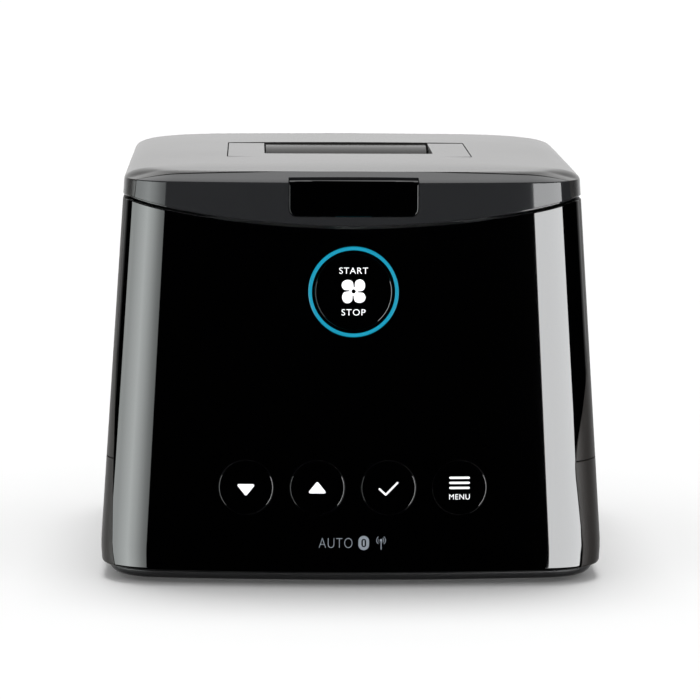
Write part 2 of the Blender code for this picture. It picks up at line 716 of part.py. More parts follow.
def chamber_bay():
    """Deck under the lid, and below it the well that the water chamber stands in."""
    deck = loft("bay_deck", [plan(z, WALL + 2 * GAP) for z in (DECK_BOTTOM, DECK_TOP)], inner_grey())
    mouth = box("guide_deck_mouth", (-BAY_HALF, BAY_FRONT, 0.100), (BAY_HALF, BAY_REAR, 0.140))
    boolean(deck, "DIFFERENCE", mouth)
    boolean(deck, "DIFFERENCE", box("guide_latch_slot", (-0.0090, -0.110, 0.100), (0.0090, -0.0865, 0.130)))
    bay = box("chamber_bay", (-BAY_HALF - BAY_WALL, BAY_FRONT - BAY_WALL, BAY_FLOOR - BAY_WALL),
              (BAY_HALF + BAY_WALL, BAY_REAR + BAY_WALL, DECK_BOTTOM - GAP), inner_grey())
    boolean(bay, "DIFFERENCE", box("guide_well_inside", (-BAY_HALF, BAY_FRONT, BAY_FLOOR),
                                   (BAY_HALF, BAY_REAR, 0.140)))
    plate = ((HEATER_RADIUS + GAP, 0.030), (HEATER_RADIUS + GAP, 0.060))
    boolean(bay, "DIFFERENCE", turned("guide_heater_hole", plate, HEATER_CENTRE, steps=FINE_ROUND))
    bore = ((PORT_BORE, 0.010), (PORT_BORE, 0.050))
    for x in (PORT_X, BLOWER.x):
        boolean(bay, "DIFFERENCE", turned("guide_bay_port", bore, (x, 0, PORT_Z), "Y"))


def heater():
    turned("heater_plate", ((HEATER_RADIUS, BAY_FLOOR - 0.0026), (HEATER_RADIUS, BAY_FLOOR - 0.0004)),
           HEATER_CENTRE, look=aluminium(), steps=FINE_ROUND)
    turned("heater_insulator", ((HEATER_RADIUS + 0.004, 0.0400), (HEATER_RADIUS + 0.004, 0.0450)),
           HEATER_CENTRE, look=silicone(), steps=ROUND)


def water_chamber():
    """Clear tub with a metal base, a lid on a seal, and two air ports to the rear."""
    low = Vector((-BAY_HALF + CHAMBER_SLACK, BAY_FRONT + CHAMBER_SLACK, BAY_FLOOR + 0.0012))
    high = Vector((BAY_HALF - CHAMBER_SLACK, BAY_REAR - CHAMBER_SLACK, CHAMBER_RIM))
    wall = Vector((0.0022, 0.0022, 0.0022))
    tub = rounded_box("water_chamber", low, high, 0.0140, clear_plastic())
    boolean(tub, "DIFFERENCE", rounded_box("guide_tub_inside", low + wall,
                                           (high.x - wall.x, high.y - wall.y, 0.140), 0.0120))
    hole = ((HEATER_RADIUS + GAP, 0.030), (HEATER_RADIUS + GAP, 0.060))
    boolean(tub, "DIFFERENCE", turned("guide_tub_hole", hole, HEATER_CENTRE, steps=FINE_ROUND))
    dish = ((HEATER_RADIUS, BAY_FLOOR + GAP), (HEATER_RADIUS, BAY_FLOOR + 0.0030))
    turned("chamber_base_plate", dish, HEATER_CENTRE, look=steel(), steps=FINE_ROUND)
    seal = rounded_box("chamber_seal", (low.x, low.y, CHAMBER_RIM + GAP),
                       (high.x, high.y, CHAMBER_RIM + 0.0015), 0.0140, silicone())
    inside = Vector((0.0036, 0.0036, 0))
    boolean(seal, "DIFFERENCE", rounded_box("guide_seal_middle", low + inside, (high - inside).to_2d().to_3d()
                                            + Vector((0, 0, 0.140)), 0.0104))
    cover_low = CHAMBER_RIM + 0.0015 + GAP
    cover = rounded_box("chamber_lid", (low.x, low.y, cover_low), (high.x, high.y, CHAMBER_TOP), 0.0140,
                        clear_plastic())
    hollow = rounded_box("guide_cover_inside", (low.x + wall.x, low.y + wall.y, 0.060),
                         (high.x - wall.x, high.y - wall.y, CHAMBER_TOP - wall.z), 0.0120)
    boolean(cover, "DIFFERENCE", hollow)
    fill = ((0.0110, 0.090), (0.0110, 0.130))
    boolean(cover, "DIFFERENCE", turned("guide_fill_hole", fill, (0.0340, -0.0100, 0)))
    bore = ((PORT_BORE - 0.0014, 0.000), (PORT_BORE - 0.0014, 0.050))
    for x in (PORT_X, BLOWER.x):
        boolean(tub, "DIFFERENCE", turned("guide_tub_port", bore, (x, 0, PORT_Z), "Y"))


def outlet_port():
    """Tube from the bay to the round breathing-hose connector on the back."""
    profile = ((PORT_BORE, BAY_REAR + BAY_WALL + GAP), (PORT_RADIUS - 0.0008, BAY_REAR + BAY_WALL + GAP),
               (PORT_RADIUS - 0.0008, 0.0900), (PORT_RADIUS, 0.0905), (PORT_RADIUS, 0.1020),
               (0.0113, 0.1020), (0.0109, PORT_TIP), (PORT_BORE, PORT_TIP))
    turned("outlet_port", profile, (PORT_X, 0, PORT_Z), "Y", inner_grey(), hollow=True)


# ---- Blower -----------------------------------------------------------------------------

def blower():
    floor = 0.0020
    rim, inside = VOLUTE_TOP - GAP, VOLUTE_RADIUS - floor
    shell_profile = ((0.0060, VOLUTE_BOTTOM), (VOLUTE_RADIUS, VOLUTE_BOTTOM), (VOLUTE_RADIUS, rim),
                     (inside, rim), (inside, VOLUTE_BOTTOM + floor), (0.0060, VOLUTE_BOTTOM + floor))
    housing = turned("blower_housing", shell_profile, BLOWER, look=inner_grey(), hollow=True)
    mouth = ((0.0085, -0.060), (0.0085, 0.0))
    boolean(housing, "DIFFERENCE", turned("guide_blower_mouth", mouth, BLOWER + Vector((0, 0, PORT_Z)), "Y",
                                          steps=16))
    lid, neck = VOLUTE_TOP + floor, VOLUTE_TOP + 0.0050
    cover_profile = ((0.0120, VOLUTE_TOP), (VOLUTE_RADIUS, VOLUTE_TOP), (VOLUTE_RADIUS, lid),
                     (0.0135, lid), (0.0135, neck), (0.0120, neck))
    turned("blower_cover", cover_profile, BLOWER, look=inner_grey(), hollow=True)
    motor = ((0.0150, 0.0480), (0.0160, 0.0490), (0.0160, 0.0710), (0.0050, 0.0710), (0.0050, 0.0740))
    turned("blower_motor", motor, BLOWER, look=steel(), steps=20)
    mount = ((0.0175, 0.0440), (0.0230, 0.0440), (0.0230, 0.0750), (0.0175, 0.0750))
    turned("blower_mount", mount, BLOWER, look=rubber(), steps=20, hollow=True)
    impeller()


def impeller():
    """Backplate, hub and curved blades, on the motor's shaft."""
    bottom = VOLUTE_BOTTOM + 0.0040
    shaft = joint_empty("impeller_axis", BLOWER)
    disc = ((0.0030, 0.0745), (0.0030, bottom), (IMPELLER_RADIUS, bottom), (IMPELLER_RADIUS, bottom + 0.0012),
            (0.0055, bottom + 0.0012), (0.0050, bottom + 0.0140))
    made = turned("impeller", disc, BLOWER, look=inner_grey())
    blades = 7
    for i in range(blades):
        start = 2 * math.pi * i / blades
        edge = []
        for side in (1, -1):
            steps = range(4) if side == 1 else range(3, -1, -1)
            for k in steps:
                radius = 0.0042 + (IMPELLER_RADIUS - 0.0008 - 0.0042) * k / 3
                angle = start - 0.75 * k / 3 + side * 0.0005 / radius
                turn = Vector((math.cos(angle), math.sin(angle), 0))
                edge.append(BLOWER + turn * radius)
        levels = (bottom + 0.0006, bottom + 0.0120)
        blade = loft("guide_blade", [[p + Vector((0, 0, z)) for p in edge] for z in levels])
        boolean(made, "UNION", blade)
    hang(made, shaft)


def ducts():
    """Intake duct from the filter over the top of the blower, and the seal at its outlet."""
    x0, x1 = FILTER_LOW.x + 0.0020, FILTER_HIGH.x - 0.0020
    wall = 0.0010
    front, leg, rear = BLOWER.y - 0.0190, VOLUTE_RADIUS + BLOWER.y + 0.0004, 0.0862
    roof = DECK_BOTTOM - 2 * GAP
    ledge = VOLUTE_TOP + 0.0050 + GAP
    intake = box("intake_duct", (x0, front, ledge), (x1, rear, roof), inner_grey())
    foot = FILTER_LOW.z + 0.0040
    boolean(intake, "UNION", box("guide_duct_leg", (x0, leg, foot), (x1, rear, roof - wall)))
    boolean(intake, "DIFFERENCE", box("guide_duct_leg_inside", (x0 + wall, leg + wall, foot + wall),
                                      (x1 - wall, 0.100, roof - 2 * wall)))
    boolean(intake, "DIFFERENCE", box("guide_duct_inside", (x0 + wall, front + wall, ledge + wall),
                                      (x1 - wall, rear - wall, roof - 1.5 * wall)))
    mouth = ((0.0125, 0.100), (0.0125, ledge + 0.0020))
    boolean(intake, "DIFFERENCE", turned("guide_duct_mouth", mouth, BLOWER))
    start = BAY_REAR + BAY_WALL + GAP
    ring = ((0.0085, start), (0.0110, start), (0.0110, start + 0.0016), (0.0085, start + 0.0016))
    turned("blower_outlet_seal", ring, (BLOWER.x, 0, PORT_Z), "Y", silicone(), hollow=True)


def power_parts():
    box("power_supply_board", (-0.0020, 0.0320, 0.0180), (0.0680, 0.0800, 0.0196), board_green())
    rounded_box("mains_transformer", (0.0040, 0.0400, 0.0199), (0.0340, 0.0700, 0.0430), 0.0020,
                steel(), steps=1)
    x, z = INLET_CENTRE.x, INLET_CENTRE.z
    rear = rear_y(z)
    inlet = box("power_inlet", (x - INLET_HALF_X, rear - 0.0200, z - INLET_HALF_Z),
                (x + INLET_HALF_X, rear - 0.0004, z + INLET_HALF_Z), base_grey())
    boolean(inlet, "DIFFERENCE", rounded_box("guide_inlet_socket", (x - 0.0105, rear - 0.0160, z - 0.0062),
                                             (x + 0.0105, rear + 0.010, z + 0.0062), 0.0010))


# ---- Rear doors -------------------------------------------------------------------------

def rear_doors():
    """Filter cover and card flap: both hinge on their lower edge."""
    for name, low, high in (("filter_cover", FILTER_LOW, FILTER_HIGH), ("card_flap", CARD_LOW, CARD_HIGH)):
        face = rear_y(low.z)
        axis = joint_empty(f"{name}_axis", (0.0, face, low.z))
        lean = REAR_TAPER * (high.z - low.z)
        side = [(face, low.z), (face - 0.0020, low.z), (face - 0.0020 - lean, high.z), (face - lean, high.z)]
        middle = (low.x + high.x) / 2
        half = (high.x - low.x) / 2
        rings = [[Vector((middle + x, y, z)) for y, z in side] for x in (-half, half)]
        door = loft(name, rings, satin_grey())
        hang(door, axis)
        if name == "filter_cover":
            for i in range(5):
                z = low.z + 0.0070 + 0.0050 * i
                slot = box("guide_louvre", (low.x + 0.0060, 0.080, z), (high.x - 0.0060, 0.110, z + 0.0022))
                boolean(door, "DIFFERENCE", slot)
    box("air_filter", (FILTER_LOW.x + 0.0010, 0.0865, FILTER_LOW.z + 0.0010),
        (FILTER_HIGH.x - 0.0010, 0.0915, FILTER_HIGH.z - 0.0010), white_foam())


def hinge_pin():
    turned("lid_hinge_pin", ((PIN_RADIUS, -0.0235), (PIN_RADIUS, 0.0235)), HINGE, "X", steel(), 12)


def build():
    clear_scene()
    below_seam = seam_block("guide_below_seam", -SEAM_GAP / 2, -FAR)
    above_seam = seam_block("guide_above_seam", SEAM_GAP / 2, FAR)
    front_frame = joint_empty("front_frame", (0, FRONT_Y, WIDE_Z))
    front_frame.rotation_euler = (-FRONT_LEAN, 0, 0)
    lid_axis = joint_empty("lid_axis", HINGE)
    handle_axis = joint_empty("handle_axis", HANDLE_AXIS)
    body = outer_body()
    base_tray()
    feet_and_screws()
    front_cover(below_seam, front_frame)
    lower, upper = housing_side(below_seam)
    rear_openings(lower, upper)
    housing_knuckles(upper)
    buttons(body, front_frame)
    front_boards(front_frame)
    bevel = lid(above_seam, lid_axis)
    lid_inside(lid_axis)
    lid_release(bevel, lid_axis)
    latch_catch()
    carry_handle(handle_axis)
    handle_tray(lid_axis)
    chamber_bay()
    heater()
    water_chamber()
    outlet_port()
    blower()
    ducts()
    power_parts()
    rear_doors()
    hinge_pin()


build()
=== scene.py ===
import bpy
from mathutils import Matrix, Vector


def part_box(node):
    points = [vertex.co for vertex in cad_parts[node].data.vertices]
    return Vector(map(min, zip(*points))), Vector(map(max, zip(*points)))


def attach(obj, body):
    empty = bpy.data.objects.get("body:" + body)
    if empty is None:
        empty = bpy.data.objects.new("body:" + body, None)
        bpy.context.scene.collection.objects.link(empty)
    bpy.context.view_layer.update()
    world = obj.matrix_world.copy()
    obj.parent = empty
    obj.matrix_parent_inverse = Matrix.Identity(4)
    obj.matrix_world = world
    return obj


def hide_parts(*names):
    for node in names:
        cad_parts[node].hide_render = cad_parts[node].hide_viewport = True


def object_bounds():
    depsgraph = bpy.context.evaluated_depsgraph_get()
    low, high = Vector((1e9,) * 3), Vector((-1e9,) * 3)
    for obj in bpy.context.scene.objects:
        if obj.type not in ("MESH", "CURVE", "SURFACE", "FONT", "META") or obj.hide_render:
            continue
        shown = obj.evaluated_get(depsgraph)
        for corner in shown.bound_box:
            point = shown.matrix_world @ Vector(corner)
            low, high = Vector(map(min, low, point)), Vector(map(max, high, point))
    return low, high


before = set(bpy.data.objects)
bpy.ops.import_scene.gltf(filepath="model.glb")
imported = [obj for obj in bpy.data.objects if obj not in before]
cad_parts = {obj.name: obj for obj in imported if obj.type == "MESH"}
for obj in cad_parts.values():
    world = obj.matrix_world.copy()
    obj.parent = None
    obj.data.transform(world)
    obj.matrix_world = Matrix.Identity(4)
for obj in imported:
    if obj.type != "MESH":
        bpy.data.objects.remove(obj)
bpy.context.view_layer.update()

import math

import bmesh
import bpy
from mathutils import Matrix, Vector

# ---- Base tray --------------------------------------------------------------------------
# The shallow moulded floor of the machine, in hard dark grey plastic with a fine spark
# texture. It carries everything else, and four screws come up through it.
# The plan outline and the wall forms below serve every moulding of the case.

WIDE_Z = 0.010                     # the case is widest here
HALF_WIDTH = 0.085
FRONT_Y = -0.106
REAR_Y = 0.097
SIDE_TAPER = 0.064
FRONT_LEAN = math.tan(math.radians(3.0))
REAR_TAPER = 0.020
FRONT_CORNER = 0.022
REAR_CORNER = 0.036
BOW_RADIUS = 0.480
MIDDLE_Y = (FRONT_Y + REAR_Y) / 2


class Value:
    """A shader socket with arithmetic: an expression on values adds its Math nodes."""

    def __init__(self, tree, socket):
        self.tree = tree
        self.socket = socket

    def math(self, operation, *others):
        made = self.tree.nodes.new("ShaderNodeMath")
        made.operation = operation
        for slot, item in zip(made.inputs, (self,) + others):
            if isinstance(item, Value):
                self.tree.links.new(item.socket, slot)
            else:
                slot.default_value = item
        return Value(self.tree, made.outputs[0])

    def __add__(self, other):
        return self.math("ADD", other)

    def __mul__(self, other):
        return self.math("MULTIPLY", other)

    def __sub__(self, other):
        return self.math("SUBTRACT", other)

    def __rsub__(self, other):
        return (self * -1.0).math("ADD", other)

    def __pow__(self, other):
        return self.math("POWER", other)

    __radd__ = __add__
    __rmul__ = __mul__


class Finish:
    """One material: a Principled shader, and node() for whatever drives it."""

    def __init__(self, name, colour, roughness, metallic=0.0, **constants):
        self.material = bpy.data.materials.new(name)
        self.material.use_nodes = True
        self.tree = self.material.node_tree
        self.shader = self.tree.nodes["Principled BSDF"]
        self.shader.inputs["Base Color"].default_value = (*colour, 1.0)
        self.shader.inputs["Roughness"].default_value = roughness
        self.shader.inputs["Metallic"].default_value = metallic
        for key, value in constants.items():
            self.shader.inputs[key.replace("_", " ")].default_value = value

    def node(self, kind, settings=None, inputs=None, output=0):
        made = self.tree.nodes.new("ShaderNode" + kind)
        for key, value in (settings or {}).items():
            setattr(made, key, value)
        for key, value in (inputs or {}).items():
            if isinstance(value, Value):
                self.tree.links.new(value.socket, made.inputs[key])
            else:
                made.inputs[key].default_value = value
        return Value(self.tree, made.outputs[output])

    def place(self, scale=(1.0, 1.0, 1.0)):
        where = self.node("TexCoord", output=3)
        return self.node("Mapping", inputs={"Vector": where, "Scale": scale})

    def noise(self, scale, detail=2.0, roughness=0.5, stretch=(1.0, 1.0, 1.0)):
        return self.node("TexNoise", inputs={"Vector": self.place(stretch), "Scale": scale, "Detail": detail,
                                             "Roughness": roughness})

    def drive(self, socket, value):
        self.tree.links.new(value.socket, self.shader.inputs[socket])

    def bump(self, height, distance, strength=1.0):
        self.drive("Normal", self.node("Bump", inputs={"Height": height, "Distance": distance,
                                                       "Strength": strength}))

    def tint(self, share, low, high):
        self.drive("Base Color", self.node("Mix", {"data_type": "RGBA"},
                                           {0: share, 6: (*low, 1.0), 7: (*high, 1.0)}, output=2))


def spark_plastic(name, colour, roughness, grain=2600.0, depth=0.00004, gloss=0.5):
    """Hard plastic with a fine spark-eroded texture, and faint handling wear in its sheen."""
    made = Finish(name, colour, roughness, Specular_IOR_Level=gloss)
    fine = made.noise(grain, 3.0, 0.6)
    cloud = made.noise(14.0, 4.0, 0.55)
    made.bump(fine, depth)
    made.drive("Roughness", cloud * 0.10 + fine * 0.06 + (roughness - 0.08))
    made.tint(cloud, [c * 0.90 for c in colour], [min(1.0, c * 1.12) for c in colour])
    return made.material


def show(name, shape, finish, body, *nodes, sharp=35.0):
    """Make an object of a finished bmesh, riding on a body in place of its CAD nodes."""
    mesh = bpy.data.meshes.new(name)
    shape.to_mesh(mesh)
    shape.free()
    mesh.shade_smooth()
    mesh.set_sharp_from_angle(angle=math.radians(sharp))
    made = bpy.data.objects.new(name, mesh)
    bpy.context.scene.collection.objects.link(made)
    if finish:
        mesh.materials.append(finish)
        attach(made, body)
        if nodes:
            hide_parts(*nodes)
    return made


def tool(name, shape):
    """An object without a finish that only cuts or joins another and is then thrown away."""
    return show(name, shape, None, None)


def push(shape, faces, along, keep=False):
    """Extrude faces along a vector, keeping the first ones as well when asked."""
    grown = bmesh.ops.extrude_face_region(shape, geom=faces, use_keep_orig=keep)["geom"]
    bmesh.ops.translate(shape, vec=along, verts=[v for v in grown if isinstance(v, bmesh.types.BMVert)])


def carve(piece, operation, *cutters):
    """Boolean each cutter into the piece for good, and throw the cutters away."""
    for cutter in cutters:
        step = piece.modifiers.new("carve", "BOOLEAN")
        step.operation = operation
        step.solver = "EXACT"
        step.object = cutter
        bpy.context.view_layer.update()
        depsgraph = bpy.context.evaluated_depsgraph_get()
        mesh = bpy.data.meshes.new_from_object(piece.evaluated_get(depsgraph))
        piece.modifiers.remove(step)
        old = piece.data
        piece.data = mesh
        bpy.data.meshes.remove(old)
        bpy.data.objects.remove(cutter)
    return piece


def smooth(piece, sharp=35.0):
    """Smooth shading in which the large faces keep their own direction beside small roundings."""
    piece.data.shade_smooth()
    piece.data.set_sharp_from_angle(angle=math.radians(sharp))
    step = piece.modifiers.new("weigh", "WEIGHTED_NORMAL")
    step.keep_sharp = True
    bpy.context.view_layer.update()
    mesh = bpy.data.meshes.new_from_object(piece.evaluated_get(bpy.context.evaluated_depsgraph_get()))
    piece.modifiers.remove(step)
    old = piece.data
    piece.data = mesh
    bpy.data.meshes.remove(old)
    return piece


def plan_outline(shape, bow_steps=30, corner_steps=22):
    """Draw the case's plan once by spinning a point, and note each point's outward direction."""
    corner_x = HALF_WIDTH - FRONT_CORNER
    bow_y = FRONT_Y + BOW_RADIUS
    corner_y = bow_y - math.sqrt((BOW_RADIUS - FRONT_CORNER) ** 2 - corner_x ** 2)
    meet = math.atan2(corner_x, bow_y - corner_y)
    rear = REAR_Y - REAR_CORNER

    def swing(vert, centre, angle, steps):
        turned = bmesh.ops.spin(shape, geom=[vert], cent=centre, axis=(0, 0, 1), angle=angle, steps=steps)
        return [item for item in turned["geom_last"] if isinstance(item, bmesh.types.BMVert)][0]

    def run(vert, x, y):
        grown = bmesh.ops.extrude_vert_indiv(shape, verts=[vert])["verts"][0]
        grown.co = (x, y, 0.0)
        return grown

    point = shape.verts.new((0.0, FRONT_Y, 0.0))
    point = swing(point, (0.0, bow_y, 0.0), meet, bow_steps)
    point = swing(point, (corner_x, corner_y, 0.0), math.pi / 2 - meet, corner_steps)
    for share in (0.25, 0.5, 0.75, 1.0):
        point = run(point, HALF_WIDTH, corner_y + (rear - corner_y) * share)
    point = swing(point, (HALF_WIDTH - REAR_CORNER, rear, 0.0), math.pi / 2, corner_steps)
    for share in (0.34, 0.67, 1.0):
        point = run(point, (HALF_WIDTH - REAR_CORNER) * (1.0 - share), REAR_Y)
    bmesh.ops.mirror(shape, geom=shape.verts[:] + shape.edges[:], axis="X", merge_dist=1e-6)
    base = shape.verts.layers.float_vector.new("base")
    out = shape.verts.layers.float_vector.new("out")
    for vert in shape.verts:
        ends = [edge.other_vert(vert).co for edge in vert.link_edges]
        along = ends[1] - ends[0]
        normal = Vector((along.y, -along.x, 0.0)).normalized()
        if normal.dot(vert.co - Vector((0.0, MIDDLE_Y, 0.0))) < 0:
            normal.negate()
        vert[base] = vert.co
        vert[out] = normal
    return base, out


def case_wall(levels, closed=False, crown=None):
    """Sweep the outline through (height, inset[, shrink]) levels. Heights may depend on place.

    Each level leans and tapers as the case does. The sweep is capped at both ends or, when
    closed, joins back to its first level.
    """
    shape = bmesh.new()
    base, out = plan_outline(shape)
    edges = shape.edges[:]
    first = shape.edges[:]

    def settle(verts, height, inset, shrink=1.0):
        for vert in verts:
            flat = vert[base] - vert[out] * inset
            x, y = flat.x * shrink, MIDDLE_Y + (flat.y - MIDDLE_Y) * shrink
            z = height(x, y) if callable(height) else height
            if crown:
                z -= crown(x, y, z)
            rise = z - WIDE_Z
            rearward = (y - FRONT_Y) / (REAR_Y - FRONT_Y)
            vert.co = (x * (1.0 - SIDE_TAPER * rise / HALF_WIDTH),
                       y + rise * (FRONT_LEAN * (1.0 - rearward) - REAR_TAPER * rearward), z)

    settle(shape.verts, *levels[0])
    for level in levels[1:]:
        grown = bmesh.ops.extrude_edge_only(shape, edges=edges)["geom"]
        edges = [item for item in grown if isinstance(item, bmesh.types.BMEdge)]
        settle([item for item in grown if isinstance(item, bmesh.types.BMVert)], *level)
    if closed:
        bmesh.ops.bridge_loops(shape, edges=first + edges)
    else:
        for loop in (first, edges):
            bmesh.ops.edgeloop_fill(shape, edges=loop)
    bmesh.ops.recalc_face_normals(shape, faces=shape.faces)
    return shape


def turned(profile, centre, axis="Z", steps=64):
    """Spin an open profile of (radius, height) points, and cap its ends if they are open."""
    shape = bmesh.new()
    chain = [shape.verts.new((radius, 0.0, height)) for radius, height in profile]
    edges = [shape.edges.new(pair) for pair in zip(chain, chain[1:])]
    bmesh.ops.spin(shape, geom=chain + edges, cent=(0, 0, 0), axis=(0, 0, 1), angle=2 * math.pi, steps=steps,
                   use_merge=True)
    bmesh.ops.remove_doubles(shape, verts=shape.verts, dist=1e-7)
    rims = [edge for edge in shape.edges if edge.is_boundary]
    if rims:
        bmesh.ops.holes_fill(shape, edges=rims)
    bmesh.ops.recalc_face_normals(shape, faces=shape.faces)
    turn = {"X": Matrix.Rotation(math.pi / 2, 4, "Y"), "Y": Matrix.Rotation(-math.pi / 2, 4, "X"),
            "Z": Matrix.Identity(4)}[axis]
    shape.transform(Matrix.Translation(centre) @ turn)
    return shape


def block(low, high, radius=0.0, segments=4, pick=None):
    """A box between two corners, with the picked edges rounded (all of them by default)."""
    shape = bmesh.new()
    bmesh.ops.create_cube(shape, size=1.0)
    low, high = Vector(low), Vector(high)
    bmesh.ops.scale(shape, vec=high - low, verts=shape.verts)
    bmesh.ops.translate(shape, vec=(low + high) / 2, verts=shape.verts)
    if radius:
        edges = [edge for edge in shape.edges if pick is None or pick(edge)]
        bmesh.ops.bevel(shape, geom=edges, offset=radius, segments=segments, affect="EDGES", profile=0.5,
                        material=-1)
    return shape


def upright(edge):
    return abs(edge.verts[0].co.z - edge.verts[1].co.z) > 1e-6


def along_y(edge):
    return abs(edge.verts[0].co.y - edge.verts[1].co.y) > 1e-6


base_low, base_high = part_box("base_tray")
base_plastic = spark_plastic("base_plastic", (0.026, 0.026, 0.027), 0.46)
tray_levels = [(base_low.z, 0.0062), (base_low.z + 0.0003, 0.0054), (base_low.z + 0.0010, 0.0044),
               (base_high.z - 0.0008, 0.0035), (base_high.z - 0.0002, 0.0034), (base_high.z, 0.0037)]
tray = show("base_tray_moulding", case_wall(tray_levels), base_plastic, "housing", "base_tray")
for corner in ("front_left", "front_right", "rear_left", "rear_right"):
    low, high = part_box("base_screw_" + corner)
    middle = (low + high) / 2
    seat = turned(((0.0018, -0.002), (0.0018, 0.008)), (middle.x, middle.y, 0.0), steps=32)
    well = turned(((0.0037, -0.002), (0.0034, 0.0018), (0.0034, 0.0032)), (middle.x, middle.y, 0.0), steps=32)
    carve(tray, "DIFFERENCE", tool("seat", seat), tool("well", well))
smooth(tray)

# ---- Feet and base screws ---------------------------------------------------------------
# Four soft rubber pads with a rounded lower edge are glued under the tray's corners, and
# four zinc-plated cross-recess screws hold the tray up to the lower housing.

foot_rubber = Finish("foot_rubber", (0.014, 0.014, 0.014), 0.86)
foot_rubber.bump(foot_rubber.noise(1500.0, 3.0), 0.00005)
foot_rubber = foot_rubber.material
screw_steel = Finish("screw_steel", (0.62, 0.62, 0.60), 0.32, 1.0)
screw_steel.drive("Roughness", screw_steel.noise(900.0) * 0.22 + 0.20)
screw_steel = screw_steel.material
for corner in ("front_left", "front_right", "rear_left", "rear_right"):
    low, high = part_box("foot_" + corner)
    middle = (low + high) / 2
    radius = (high.x - low.x) / 2
    profile = [(radius - 0.0012, high.z), (radius, high.z), (radius, 0.0006), (radius - 0.0002, 0.0002),
               (radius - 0.0006, 0.0), (0.0, 0.0)]
    show("foot_pad_" + corner, turned(profile, (middle.x, middle.y, 0.0)), foot_rubber, "housing",
         "foot_" + corner)
    low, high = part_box("base_screw_" + corner)
    middle = (low + high) / 2
    head = (high.x - low.x) / 2
    profile = [(0.0, low.z), (head - 0.0006, low.z), (head, low.z + 0.0005), (head, low.z + 0.0011),
               (0.0014, low.z + 0.0011), (0.0014, high.z - 0.0010), (0.0, high.z)]
    screw = show("screw_" + corner, turned(profile, (middle.x, middle.y, 0.0), steps=40), screw_steel,
                 "housing",
                 "base_screw_" + corner)
    for size in ((0.0016, 0.0004), (0.0004, 0.0016)):
        slot = block((middle.x - size[0], middle.y - size[1], low.z - 0.001),
                     (middle.x + size[0], middle.y + size[1], low.z + 0.0008))
        carve(screw, "DIFFERENCE", tool("recess", slot))
    smooth(screw)

# ---- Lower and upper housing ------------------------------------------------------------
# Two satin dark grey shells make the sides and the back. They meet in a fine level seam,
# and their front edge sweeps forward towards the floor, where the gloss cover gets narrow.

SHELL_BOTTOM = 0.0050
LEVEL_SEAM = 0.041
SEAM_SIDE = 0.1288
SEAM_FRONT = 0.1204
SEAM_RADIUS = 0.338
HALF_SEAM_GAP = 0.00055
WALL = 0.0024
PIECE_GAP = 0.0003
FAR = 0.30
COVER_LEFT, COVER_RIGHT = 0.0122, 0.0105     # edges of the front cover behind FRONT_Y, low down
COVER_UPPER = 0.0225                         # and high up, from SWEEP_HIGH
SWEEP_LOW, SWEEP_HIGH = 0.036, 0.086


def seam_height(x, y):
    """The lid seam is level round the sides and back, and smiles across the front."""
    if y > -0.060:
        return SEAM_SIDE
    flat = x * (1.0 - SIDE_TAPER * (SEAM_SIDE - WIDE_Z) / HALF_WIDTH)
    return min(SEAM_SIDE, SEAM_FRONT + SEAM_RADIUS - math.sqrt(SEAM_RADIUS ** 2 - flat ** 2))


def below_seam(drop):
    return lambda x, y: seam_height(x, y) - HALF_SEAM_GAP - drop


def shell_levels():
    """Outside of the wall from the floor up, over its rounded rim, and down the inside."""
    outside = [(SHELL_BOTTOM, 0.0016), (SHELL_BOTTOM + 0.0002, 0.0012), (SHELL_BOTTOM + 0.0005, 0.0009),
               (SHELL_BOTTOM + 0.0010, 0.0007), (WIDE_Z, 0.0002), (0.0130, 0.0), (LEVEL_SEAM, 0.0),
               (0.080, 0.0),
               (0.110, 0.0)]
    rim = 0.0003
    for step in range(7):
        turn = math.pi / 2 * step / 6
        outside.append((below_seam(rim * (1.0 - math.sin(turn))), rim * (1.0 - math.cos(turn))))
    inside = [(below_seam(0.0), WALL - 0.0003), (below_seam(0.0003), WALL), (0.090, WALL), (LEVEL_SEAM, WALL),
              (SHELL_BOTTOM + 0.0022, WALL), (SHELL_BOTTOM, WALL + 0.0008)]
    return outside + inside


def cover_edge(side):
    """(y, z) points of one edge of the front cover: straight on the left, swept on the right."""
    points = []
    for z in [0.0] + [SWEEP_LOW + (SWEEP_HIGH - SWEEP_LOW) * i / 16 for i in range(17)] + [0.170]:
        if side < 0:
            reach = COVER_LEFT + (COVER_UPPER - COVER_LEFT) * min(1.0, z / SWEEP_HIGH)
        else:
            share = min(1.0, max(0.0, (z - SWEEP_LOW) / (SWEEP_HIGH - SWEEP_LOW)))
            reach = COVER_RIGHT + (COVER_UPPER - COVER_RIGHT) * share * share * (3.0 - 2.0 * share)
        points.append((FRONT_Y + reach + FRONT_LEAN * max(0.0, z - SWEEP_HIGH), z))
    return points


def side_seam_cutter(name, offset, far_y):
    """A solid in front of or behind the edges of the front cover."""
    shape = bmesh.new()
    loops = []
    for x in (-FAR, -0.001, 0.001, FAR):
        points = [(y + offset, z) for y, z in cover_edge(x)] + [(far_y, 0.170), (far_y, 0.0)]
        ring = [shape.verts.new((x, y, z)) for y, z in points]
        loops.append([shape.edges.new(pair) for pair in zip(ring, ring[1:] + ring[:1])])
    for near, far in zip(loops, loops[1:]):
        bmesh.ops.bridge_loops(shape, edges=near + far)
    for loop in (loops[0], loops[-1]):
        bmesh.ops.edgeloop_fill(shape, edges=loop)
    bmesh.ops.recalc_face_normals(shape, faces=shape.faces)
    return tool(name, shape)


